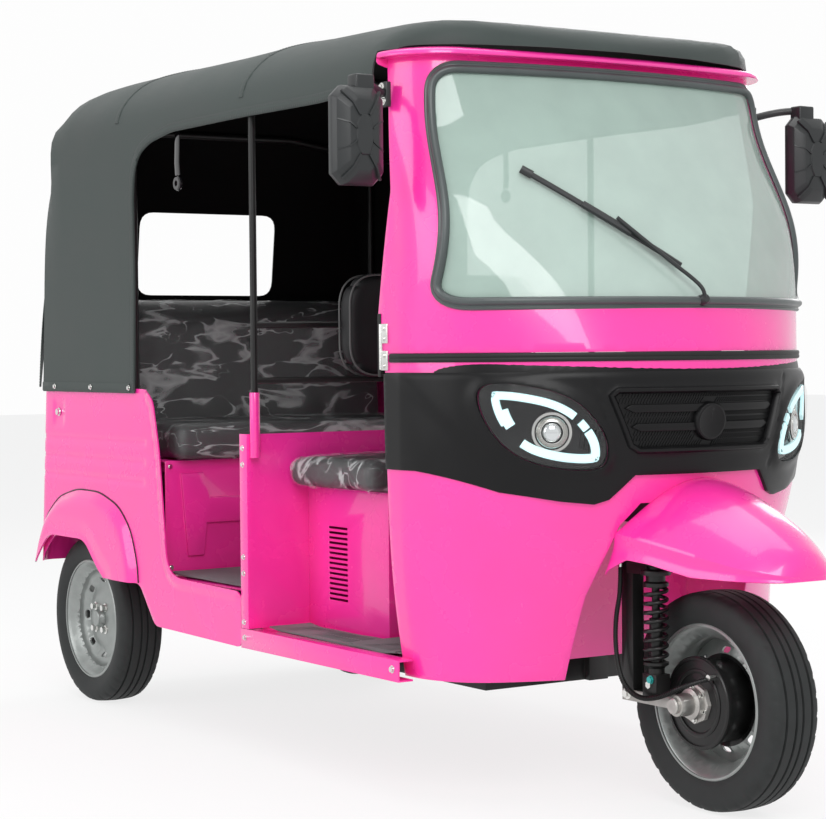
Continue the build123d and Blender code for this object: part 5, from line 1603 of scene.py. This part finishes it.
heads("link_bolts", [tuple(place((-133, 92, 282))), tuple(place((-133, 176, 252)))], [(-1, 0, 0)] * 2, "fork",
      radius=9, height=9, sides=6, washer=1.5)
heads("teal_bolt", [tuple(place((-139.5, 86, 294)))], [(-1, 0, 0)], "fork", material=teal_metal, radius=7.5,
      height=5, sides=24, washer=1.3, slot="bright_steel")
ribs_plate = turned("backing_plate_ribs", [(-78.5, 96), (-78.5, 101), (-76, 103), (-75, 103), (-75, 96)],
                    (0, 0, 247), axis=0, segments=72)
ring_plate = turned("backing_plate_ring", [(-78, 66), (-80, 69), (-80, 74), (-78, 77), (-75, 77), (-75, 66)],
                    (0, 0, 247), axis=0, segments=72)
plate_ribs = join("backing_plate_relief", [ribs_plate, ring_plate])
finish_piece(plate_ribs, "fork", satin_black)
print("suspension pieces done")

# %% [markdown]
# ## Brake hose
# A short hose runs from a clip on the leg down and round to the backing plate. It is one smooth
# NURBS line, and a spring guard is wound round it. The helix of the guard
# follows points read from the same line.

# %% Hose and its spring guard
hose_route = [(-140.3, 190, 560), (-140.3, 188, 490), (-148.3, 200, 420), (-150.3, 196, 340),
              (-151.3, 172, 276),
              (-152.3, 112, 248), (-150.3, 36, 262), (-144.3, -34, 296), (-76.3, -60, 312)]


def hose_curve(name, bevel):
    """NURBS curve object through the route's control points."""
    curve = bpy.data.curves.new(name, "CURVE")
    curve.dimensions = "3D"
    curve.resolution_u = 14
    curve.bevel_depth = bevel
    curve.bevel_resolution = 3
    curve.use_fill_caps = bevel > 0
    line = curve.splines.new("NURBS")
    line.points.add(len(hose_route) - 1)
    for point, spot in zip(line.points, place(hose_route)):
        point.co = (*spot, 1)
    line.use_endpoint_u = True
    line.order_u = 3
    made = linked(name, curve)
    return made


guide = hose_curve("hose_line", 0)
line_mesh = bpy.data.meshes.new_from_object(guide.evaluated_get(bpy.context.evaluated_depsgraph_get()))
line_points = np.array([tuple(v.co) for v in line_mesh.vertices])
bpy.data.objects.remove(guide)
lengths = np.concatenate([[0], np.cumsum(np.linalg.norm(np.diff(line_points, axis=0), axis=1))])
hose = hose_curve("brake_hose_tube", 0.0047)
finish_piece(hose, "fork", black_rubber, ["brake_hose"])
marks = np.linspace(0.02, lengths[-1] - 0.012, 1500)
spots = np.stack([np.interp(marks, lengths, line_points[:, i]) for i in range(3)], 1)
along = np.gradient(spots, axis=0)
along /= np.linalg.norm(along, axis=1)[:, None]
across_x = np.cross(along, (0.3, 0.2, 1.0))
across_x /= np.linalg.norm(across_x, axis=1)[:, None]
across_z = np.cross(along, across_x)
turn = marks / 0.0056 * 2 * math.pi
helix = spots + (across_x * np.cos(turn)[:, None] + across_z * np.sin(turn)[:, None]) * 0.0053
normals = helix - spots
guard_wire = sweep("hose_spring_guard", helix, normals, [(-0.9, -0.9), (-0.9, 0.9), (0.9, 0.9), (0.9, -0.9)])
finish_piece(guard_wire, "fork", satin_black)
ends = join("hose_fittings", [
    bar("fitting_low", [(-98, -60, 312), (-84, -60, 312), (-76, -60, 312)], 7, 12, order=2),
    bar("fitting_high", [(-140.3, 190, 566), (-140.3, 190, 552), (-140.3, 190, 540)], 7, 12, order=2)])
finish_piece(ends, "fork", bright_steel)
print("hose length", round(float(lengths[-1]), 3), "m")

# %% [markdown]
# ## Seats
# The seats are foam under black vinyl, and clear film from delivery is still wrapped round the
# cushions. A pad is a rounded block with a crowned top whose sides pull in between the corners.
# Its film is a second, thinner skin a few millimetres outside, pushed into creases.

# %% Pads
def pad_points(low, high, radius, crown, pull, counts=(60, 30, 10)):
    """Points and quads of a crowned, rounded block."""
    low, high = np.array(low, float), np.array(high, float)
    middle, half = (low + high) / 2, (high - low) / 2
    work = bmesh.new()
    for axis in range(3):
        u, v = [i for i in range(3) if i != axis]
        for sign in (-1, 1):
            ids = []
            for a in np.linspace(-1, 1, counts[u] + 1):
                line = []
                for b in np.linspace(-1, 1, counts[v] + 1):
                    point = [0.0, 0.0, 0.0]
                    point[axis], point[u], point[v] = sign, a, b
                    line.append(work.verts.new(point))
                ids.append(line)
            for i in range(counts[u]):
                for j in range(counts[v]):
                    work.faces.new((ids[i][j], ids[i + 1][j], ids[i + 1][j + 1], ids[i][j + 1]))
    bmesh.ops.remove_doubles(work, verts=work.verts, dist=1e-5)
    bmesh.ops.recalc_face_normals(work, faces=work.faces)
    unit = np.array([tuple(v.co) for v in work.verts])
    work.verts.index_update()
    faces = [[v.index for v in f.verts] for f in work.faces]
    work.free()
    full = unit * half
    core = np.clip(full, -(half - radius), half - radius)
    rest = full - core
    length = np.linalg.norm(rest, axis=1)[:, None]
    shaped = core + np.where(length > 1e-9, rest / np.maximum(length, 1e-9) * radius, 0)
    u, v = unit[:, 0], unit[:, 1]
    shaped[:, 2] += np.where(unit[:, 2] > -0.9, crown * (1 - u ** 4) * (1 - v ** 2) * (unit[:, 2] + 1) / 2, 0)
    shaped[:, 0] -= np.sign(u) * pull * np.abs(u) ** 6 * (1 - v ** 2) * 2
    shaped[:, 1] -= np.sign(v) * pull * np.abs(v) ** 6 * (1 - u ** 2)
    return shaped + middle, faces


def creases(points, size, depth, seed, stretch=(1, 1, 1)):
    """Heights of folds at points in millimetres: sharp ridges between broad hollows."""
    from mathutils import noise
    heights = []
    for point in points:
        spot = Vector((point[0] / size * stretch[0] + seed, point[1] / size * stretch[1],
                       point[2] / size * stretch[2]))
        broad = noise.noise(spot)
        fine = noise.noise(spot * 2.3 + Vector((3.1, 7.7, 1.3)))
        heights.append((1 - abs(broad) * 2.2) * 0.65 + (1 - abs(fine) * 2.0) * 0.35)
    return np.array(heights) * depth


def skin_out(made, distance):
    """Moves the points of a mesh along their normals by distances in millimetres."""
    coordinates = np.array([tuple(v.co) for v in made.data.vertices])
    normals = np.array([tuple(v.normal) for v in made.data.vertices])
    moved = coordinates + normals * np.asarray(distance)[:, None] / 1000
    made.data.vertices.foreach_set("co", moved.astype(np.float32).ravel())
    made.data.update()
    return made


def pad(name, low, high, node, radius=30, crown=10, pull=5, film=True, counts=(60, 30, 10), size=95, seed=0.0,
        stretch=(1, 1, 1)):
    """Vinyl cushion with its film."""
    points, faces = pad_points(low, high, radius, crown, pull, counts)
    made = new_object(name, place(points), faces, math.radians(60))
    skin_out(made, creases(points, size * 1.4, 2.4, seed) - 4.0)
    finish_piece(made, "body", seat_vinyl, [node])
    if film:
        wrap_points, wrap_faces = pad_points(low, high, radius, crown, pull,
                                             (counts[0] * 2, counts[1] * 2, counts[2] * 2))
        wrap = new_object(name + "_film", place(wrap_points), wrap_faces, math.radians(60))
        skin_out(wrap, creases(wrap_points, size, 6.0, seed + 5, stretch) - 1.2)
        finish_piece(wrap, "body", clear_film)
    return made


pad("driver_seat_pad", (-451, 766, 690), (451, 1166, 766), "driver_cushion", 32, 10, 5, counts=(64, 30, 8),
    seed=1.0)
pad("passenger_seat_pad", (-502, 1665, 738), (502, 2196, 834), "passenger_cushion", 36, 12, 6,
    counts=(70, 36, 8),
    size=120, seed=4.0, stretch=(0.8, 1.2, 1))
print("cushions done")

# %% [markdown]
# ## Backrests
# The driver's backrest is a rounded pad with light piping. The passengers' one is a long
# bolster whose section leans back and rolls over at the top, so it is a lofted section.

# %% Backrests
rest_points, rest_faces = pad_points((-300, 1093.6, 968), (300, 1154.6, 1236), 28, 0, 0, (40, 8, 20))
outer = rest_points.copy()
middle_z = 1102.0
corner = 88.0
dx, dz = np.abs(outer[:, 0]) - (300 - corner), np.abs(outer[:, 2] - middle_z) - (134 - corner)
over = (dx > 0) & (dz > 0)
length = np.hypot(dx, dz)
squeeze = np.where(over & (length > 1e-6), np.maximum(dx, dz) / np.maximum(length, 1e-6), 1)
outer[:, 0] = np.where(over, np.sign(outer[:, 0]) * (300 - corner + dx * squeeze), outer[:, 0])
outer[:, 2] = np.where(over, middle_z + np.sign(outer[:, 2] - middle_z) * (134 - corner + dz * squeeze),
                       outer[:, 2])
backrest = new_object("driver_backrest_pad", place(outer), rest_faces, math.radians(60))
finish_piece(backrest, "body", seat_vinyl, ["driver_backrest"])
loop_xz = soft_corners([(-296, 972), (296, 972), (296, 1232), (-296, 1232)], 84, steps=12)
for station, out in ((1098, -1), (1150, 1)):
    spots = place([(x, station, z) for x, z in walk(loop_xz, 12)])
    edge = sweep(f"backrest_piping_{station}", spots, [(0, out, 0)] * len(spots),
                 [(2.6 * math.cos(t), 2.6 * math.sin(t)) for t in np.linspace(0, 2 * math.pi, 9)[:-1]],
                 closed=True)
    finish_piece(edge, "body", piping_grey)
section = soft_corners([(2204, 740), (2328, 740), (2380, 1196), (2314, 1202), (2242, 1146), (2206, 880)], 40)
section = walk(section, 12)
centre = section.mean(0)


def bolster(name, swell, material, seed, depth, replaced=()):
    """Lofted bolster with folds of a depth, drawn in by a swell below zero."""
    rows = []
    for x in np.linspace(-503, 503, 110):
        end = np.clip((abs(x) - 463) / 40, 0, 1)
        tuck = 1 - 0.16 * (1 - math.sqrt(max(0, 1 - end ** 2)))
        rows.append([(x, s, z) for s, z in centre + (section - centre) * tuck])
    rows = np.array(rows)
    made = outward(grid(name, place(rows), close_columns=True, caps=True))
    points = np.array([tuple(v.co) for v in made.data.vertices]) * 1000
    points[:, 1] -= front_axle * 1000
    skin_out(made, creases(points, 150, depth, seed, (1.1, 1, 0.6)) + swell)
    smooth(made, math.radians(60))
    return finish_piece(made, "body", material, replaced)


bolster("passenger_backrest_pad", -5.5, seat_vinyl, 2.0, 3.0, ["passenger_backrest"])
bolster("passenger_backrest_film", -3.4, clear_film, 9.0, 5.0)
print("backrests done")

# %% [markdown]
# ## Mats
# Grey rubber mats lie loose on both floors. They are thin sheets with cross ribs, and their
# edges curl up a little where they were rolled.

# %% Mats
def mat(name, low, high, height, curl, seed):
    """Rubber mat between two corners, wavy and curled along its outer edges."""
    from mathutils import noise
    columns = max(8, int(abs(high[0] - low[0]) / 14))
    rows_count = max(8, int(abs(high[1] - low[1]) / 14))
    top = []
    for y in np.linspace(low[1], high[1], rows_count):
        row = []
        for x in np.linspace(low[0], high[0], columns):
            wave = 2.4 * (noise.noise(Vector((x / 150, y / 120, seed))) + 0.5)
            edge = min(y - low[1], high[1] - y)
            lift = curl * math.exp(-(edge / 34) ** 2) * (0.6 + 0.4 * noise.noise(Vector((x / 90, seed, 2))))
            row.append((x, y, height + max(0.2, wave) + lift))
        top.append(row)
    made = grid(name, place(np.array(top)))
    if made.data.polygons[0].normal.z < 0:
        made.data.flip_normals()
    thick = made.modifiers.new("thick", "SOLIDIFY")
    thick.thickness = 0.004
    thick.offset = 1
    return settle(made)


mats = [mat("mat_left", (392, 562), (512, 1152), 325.5, 9, 1.0),
        mat("mat_right", (-512, 562), (-392, 1152), 325.5, 9, 2.0),
        mat("mat_front", (-505, 545), (505, 775), 325.5, 7, 4.0),
        mat("mat_back", (-505, 1238), (505, 1712), 421.5, 6, 3.0)]
mats_made = join("rubber_mats", mats)
finish_piece(mats_made, "body", mat_rubber, ["floor_mats"])
rib_spots = [(x, y, 330) for y in np.arange(575, 1145, 13) for x in (-474, -430, 430, 474)]
rib_made = rib_rows("mat_ribs", place(rib_spots), [(0, 0, 1)] * len(rib_spots), mat_rubber, length=38,
                    width=2,
                    height=3.6, slant=0)
finish_piece(rib_made, "body", mat_rubber)
print("mats done")

# %% [markdown]
# ## Sheet metal and frame pieces kept from the CAD
# Sills, partition, seat box, seat front, floor and wheel well are folded sheet, and the CAD
# already has their shape. A merged copy takes a rounded edge, because real folds catch light.

# %% Folded sheet, rails and machinery
for node, slot, material, edge in [
        ("sills", "pink_paint", pink_paint, 1.6), ("partition", "pink_paint", pink_paint, 1.6),
        ("driver_seat_box", "pink_paint", pink_paint, 1.2),
        ("passenger_seat_base", "pink_paint", pink_paint, 3.0),
        ("floor_pan", "pink_paint", pink_paint, 0.8), ("wheel_well", "pink_paint", pink_paint, 1.0),
        ("chassis_frame", "black_frame", satin_black, 1.5), ("guard_rails", "black_frame", satin_black, 0),
        ("canopy_frame", "black_frame", satin_black, 0), ("rear_axle", "black_frame", satin_black, 1.5),
        ("battery_block", "battery_case", black_plastic, 4.0),
        ("dashboard", "black_plastic", black_plastic, 1.5),
        ("handlebar", "black_frame", satin_black, 0), ("tail_lamps", "tail_lens", tail_red, 3.0)]:
    made = cad_copy(node + "_finished", node, edge)
    finish_piece(made, "body" if node != "handlebar" else "fork", material, [node])
print("CAD copies done")

# %% [markdown]
# ## Mirrors
# The mirror backs are faceted plastic: a chamfered oblong, stepped forward to a small flat
# panel, with raised ridges that run from the panel to the corners in an X. Each hangs on a
# short arm from a plate on the post.

# %% Mirrors
def octagon(half_x, half_z, cut):
    """Chamfered oblong."""
    return [(-half_x + cut, -half_z), (half_x - cut, -half_z), (half_x, -half_z + cut),
            (half_x, half_z - cut),
            (half_x - cut, half_z), (-half_x + cut, half_z), (-half_x, half_z - cut),
            (-half_x, -half_z + cut)]


mirror_parts, glasses = [], []
for side in (-1, 1):
    mid_x, mid_z = side * 680, 1513
    rings = [(457, 60, 106, 24), (455, 64, 110, 24), (440, 65, 111, 24), (424, 60, 106, 26),
             (410, 44, 88, 24),
             (405, 36, 78, 20)]
    rows = [[(mid_x + x, station, mid_z + z) for x, z in octagon(hx, hz, cut)] for station, hx, hz,
            cut in rings]
    housing = outward(grid(f"mirror_shell_{side}", place(np.array(rows)), close_columns=True, caps=True))
    mirror_parts.append(soften(housing, 1.6, 2, 12))
    panel_rows = [[(mid_x + x, station, mid_z + z) for x, z in
                   [(-10, -46), (10, -46), (22, -24), (22, 24), (10, 46), (-10, 46), (-22, 24), (-22, -24)]]
                  for station in (406, 401.5)]
    panel_rows = np.array(panel_rows, float)
    panel_rows[1, :, 0] = mid_x + (panel_rows[1, :, 0] - mid_x) * 0.86
    panel_rows[1, :, 2] = mid_z + (panel_rows[1, :, 2] - mid_z) * 0.93
    mirror_parts.append(outward(grid(f"mirror_panel_{side}", place(panel_rows), close_columns=True,
                                     caps=True)))
    for dx, dz in ((1, 1), (1, -1), (-1, 1), (-1, -1)):
        ridge = place([(mid_x + dx * 12, 402.5, mid_z + dz * 44), (mid_x + dx * 30, 403.5, mid_z + dz * 72),
                       (mid_x + dx * 50, 421, mid_z + dz * 98)])
        mirror_parts.append(sweep(f"mirror_ridge_{side}_{dx}_{dz}", ridge, [(0, -1, 0)] * 3,
                                  [(-3.2, -4), (-2.2, 2.2), (2.2, 2.2), (3.2, -4)]))
        short = place([(mid_x + dx * 21, 402.8, mid_z + dz * 14), (mid_x + dx * 37, 404.5, mid_z + dz * 26),
                       (mid_x + dx * 59, 424, mid_z + dz * 34)])
        mirror_parts.append(sweep(f"mirror_short_{side}_{dx}_{dz}", short, [(0, -1, 0)] * 3,
                                  [(-2.4, -4), (-1.6, 1.6), (1.6, 1.6), (2.4, -4)]))
    mirror_parts.append(bar(f"mirror_arm_{side}", [(side * 548, 516, 1617), (side * 590, 508, 1630),
                                                    (side * 640, 470, 1640), (side * 662, 442, 1638)], 9.5))
    mirror_parts.append(box(f"mirror_clamp_{side}", (side * 640, 424, 1598), (side * 690, 462, 1650), 5))
    mirror_parts.append(box(f"mirror_plate_{side}", (side * 548, 500, 1590), (side * 562, 530, 1648), 3))
    glass_rows = [[(mid_x + x, station, mid_z + z) for x, z in octagon(57, 103, 22)] for station in (456.5,
            458)]
    glasses.append(outward(grid(f"mirror_face_{side}", place(np.array(glass_rows, float)), close_columns=True,
                                caps=True)))
mirrors = join("mirror_backs", mirror_parts)
finish_piece(mirrors, "body", mirror_shell_black, ["mirrors"])
mirror_faces = join("mirror_faces", glasses)
finish_piece(mirror_faces, "body", mirror_glass)
heads("mirror_bolts", [tuple(place((side * 562.5, 512 + 6 * k, 1604 + 32 * k))) for side in (-1,
        1) for k in (0, 1)],
      [(side, 0, 0) for side in (-1, 1) for _ in (0, 1)], "body", radius=6.5, height=5, sides=6, washer=1.5)
print("mirrors done")

# %% [markdown]
# ## Hinge plates, straps and fasteners
# The last small things: steel hinge plates on the posts with a rubber strip beside them, straps
# that hang by the passengers' doors, and the screws that hold the sheets and the canopy's hem.

# %% Hinge plates and straps
plate_parts, strip_parts, spots, away = [], [], [], []
for side in (-1, 1):
    for low in (990, 1052):
        plate_parts.append(box(f"hinge_{side}_{low}", (side * 559, 501, low), (side * 565.5, 530, low + 45),
                               1.5))
        for dz in (10, 34):
            spots.append(tuple(place((side * 565.6, 516, low + dz))))
            away.append((side, 0, 0))
    knuckle = bar(f"knuckle_{side}", [(side * 562, 531, 992), (side * 562, 531, 1044),
                                      (side * 562, 531, 1096)], 5.5,
                  12, order=2)
    plate_parts.append(knuckle)
    strip_parts.append(box(f"hinge_strip_{side}", (side * 556, 533, 975), (side * 563, 546, 1120), 2))
hinge = join("hinge_set", plate_parts)
finish_piece(hinge, "body", bright_steel, ["hinge_plates"])
strips = join("hinge_strips", strip_parts)
finish_piece(strips, "body", black_rubber)
heads("hinge_screws", spots, away, "body", radius=5, height=3.2, washer=1.5)
straps = []
for side in (-1, 1):
    x = side * 543
    line = place([(x, 1572, 1630), (x + side * 1, 1571, 1590), (x + side * 2, 1572, 1545), (x, 1572, 1512)])
    straps.append(sweep(f"strap_{side}", line, [(side, 0, 0)] * 4,
                        [(-11, -2), (-12, 0), (-11, 2), (0, 3.4), (11, 2), (12, 0), (11, -2), (0, -3)]))
    eye = turned(f"strap_eye_{side}", [(-6, 8), (-6, 17), (-3, 20), (3, 20), (6, 17), (6, 8)],
                 (x, 1572, 1490), axis=0,
                 segments=36)
    straps.append(eye)
strap = join("grab_straps", straps)
finish_piece(strap, "body", gloss_black, ["grab_handles"])
print("hinges and straps done")

# %% Screws
def screw_row(name, rows, material=bright_steel, **sizes):
    """Screw heads on both sides from x, station and height on the right side; out is across."""
    spots, away = [], []
    for x, station, z in rows:
        for side in (-1, 1):
            spots.append(tuple(place((side * x, station, z))))
            away.append((side, 0, 0))
    return heads(name, spots, away, "body", material, **sizes)


screw_row("flange_screws", [(560.5, 1197, z) for z in (790, 748, 512, 470, 345)] + [(560.5, 1195, 306)],
          radius=5.2,
          height=4)
screw_row("sill_screws", [(560.5, 500, 306)], radius=6.5, height=4.5)
screw_row("canopy_screws", [(571.5, station, 938) for station in (1830, 2080, 2330)], radius=5.5, height=4)
lock_x = 556.5
screw_row("lock_barrels", [(lock_x + 2.5, 2330, 862)], radius=9, height=7, sides=28, washer=1.35)
seat_spots = [tuple(place((x, 1721, z))) for x in (-500, 500) for z in (440, 720)]
heads("seat_front_screws", seat_spots, [(0, -1, 0)] * 4, "body", radius=5, height=3.6)
grips = []
for side in (-1, 1):
    top = -40 + 1040 * math.tan(math.radians(17))
    rib_line = [(side * (226 + 6 * i), top + 80.3 + 1.71 * i, 1100) for i in range(18)]
    for i, (gx, gs, gz) in enumerate(rib_line[::2]):
        ring = turned(f"grip_{side}_{i}", [(-2, 15), (-2, 18.6), (2, 18.6), (2, 15)], (gx, gs, gz), axis=0,
                      segments=24)
        grips.append(ring)
grip = join("grip_ribs", grips)
finish_piece(grip, "fork", black_rubber)
print("pieces in all:", len(placed))

# %% [markdown]
# ## Studio
# The floor and the backdrop are plain and pale. The camera stands at the right front corner at
# chest height with a long lens, turned a little to bring the far lamp into view.

# %% Camera, light and floor
def camera_at(location, yaw, pitch, roll, lens):
    """Camera in metres and radians: yaw towards +X from +Y, pitch downwards."""
    ahead = Vector((math.sin(yaw) * math.cos(pitch), math.cos(yaw) * math.cos(pitch), -math.sin(pitch)))
    right = Vector((math.cos(yaw), -math.sin(yaw), 0))
    up = right.cross(ahead)
    side = math.cos(roll) * right + math.sin(roll) * up
    above = -math.sin(roll) * right + math.cos(roll) * up
    data = bpy.data.cameras.new("photo_camera")
    data.lens = lens
    data.sensor_width = 36
    data.clip_end = 200
    made = linked("photo_camera", data)
    made.matrix_world = Matrix.Translation(location) @ Matrix((side, above, -ahead)).transposed().to_4x4()
    bpy.context.scene.camera = made
    return made


eye = (-3.248, front_axle - 3.690, 1.035)          # metres
camera_yaw, camera_pitch, camera_roll = 0.581, 0.027, -0.009    # radians
camera_lens = 95.1                                 # millimetres on a 36 mm sensor
camera_at(eye, camera_yaw, camera_pitch, camera_roll, camera_lens)


def area_light(name, location, target, size, power, colour=(1, 1, 1)):
    """Soft square lamp that looks at a target."""
    data = bpy.data.lights.new(name, "AREA")
    data.shape = "SQUARE"
    data.size = size
    data.energy = power
    data.color = colour
    made = linked(name, data)
    made.location = location
    made.rotation_euler = (Vector(target) - Vector(location)).to_track_quat("-Z", "Y").to_euler()
    return made


# Columns: name, place, target, width of the square, power in watts
LAMPS = [("key", (-3.0, -5.5, 4.6), (0, 0, 0.7), 3.5, 230),
         ("fill", (-6.5, 0.5, 3.0), (0, 0.2, 0.8), 4.0, 120),
         ("top", (0, 0, 6.5), (0, 0, 0), 5.0, 170),
         ("rim", (4.5, 3.0, 3.5), (0, 0, 1.0), 3.0, 85)]
for lamp in LAMPS:
    area_light(*lamp)

sky_strength = 0.5                                 # what lights the vehicle
floor_white = 0.8                                  # share of the floor seen as plain white
world = bpy.data.worlds.new("studio")
bpy.context.scene.world = world
world.use_nodes = True
nodes, links = world.node_tree.nodes, world.node_tree.links
sky = nodes["Background"]
sky.inputs["Color"].default_value = (0.93, 0.95, 0.96, 1)
sky.inputs["Strength"].default_value = sky_strength
seen = nodes.new("ShaderNodeBackground")
seen.inputs["Color"].default_value = (0.985, 0.985, 0.985, 1)
seen.inputs["Strength"].default_value = 1.0
way, choose = nodes.new("ShaderNodeLightPath"), nodes.new("ShaderNodeMixShader")
either, every = nodes.new("ShaderNodeMath"), nodes.new("ShaderNodeMath")
either.operation = every.operation = "MAXIMUM"
links.new(way.outputs["Is Camera Ray"], either.inputs[0])
links.new(way.outputs["Is Transmission Ray"], either.inputs[1])
links.new(either.outputs[0], every.inputs[0])
links.new(way.outputs["Is Glossy Ray"], every.inputs[1])
links.new(every.outputs[0], choose.inputs["Fac"])
links.new(sky.outputs["Background"], choose.inputs[1])
links.new(seen.outputs["Background"], choose.inputs[2])
links.new(choose.outputs["Shader"], nodes["World Output"].inputs["Surface"])

floor = new_object("studio_floor", [(-30, -30, 0), (30, -30, 0), (30, 30, 0), (-30, 30, 0)], [(0, 1, 2, 3)])
floor_finish = finish("floor_pale", (0.95, 0.95, 0.95), 0.8, drift=0.004, dark=0.2)
floor_nodes, floor_links = floor_finish.node_tree.nodes, floor_finish.node_tree.links
pale, mixed, way = [floor_nodes.new(kind) for kind in
                    ("ShaderNodeEmission", "ShaderNodeMixShader", "ShaderNodeLightPath")]
pale.inputs["Color"].default_value = (0.985, 0.985, 0.985, 1)
plain, lit, part = [floor_nodes.new("ShaderNodeMath") for _ in range(3)]
plain.operation = lit.operation = "MAXIMUM"
part.operation = "MULTIPLY"
part.inputs[1].default_value = floor_white
floor_links.new(way.outputs["Is Camera Ray"], plain.inputs[0])
floor_links.new(way.outputs["Is Glossy Ray"], plain.inputs[1])
floor_links.new(plain.outputs[0], lit.inputs[0])
floor_links.new(way.outputs["Is Transmission Ray"], lit.inputs[1])
floor_links.new(lit.outputs[0], part.inputs[0])
floor_links.new(part.outputs[0], mixed.inputs["Fac"])
floor_links.new(floor_nodes["Principled BSDF"].outputs["BSDF"], mixed.inputs[1])
floor_links.new(pale.outputs["Emission"], mixed.inputs[2])
floor_links.new(mixed.outputs["Shader"], floor_nodes["Material Output"].inputs["Surface"])
floor.data.materials.append(floor_finish)
floor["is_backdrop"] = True

scene = bpy.context.scene
scene.view_settings.view_transform = "Standard"
print("camera lens", scene.camera.data.lens)

# %% Sizes and the end
low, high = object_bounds()
print("visual box", [round(v, 3) for v in (*low, *high)])
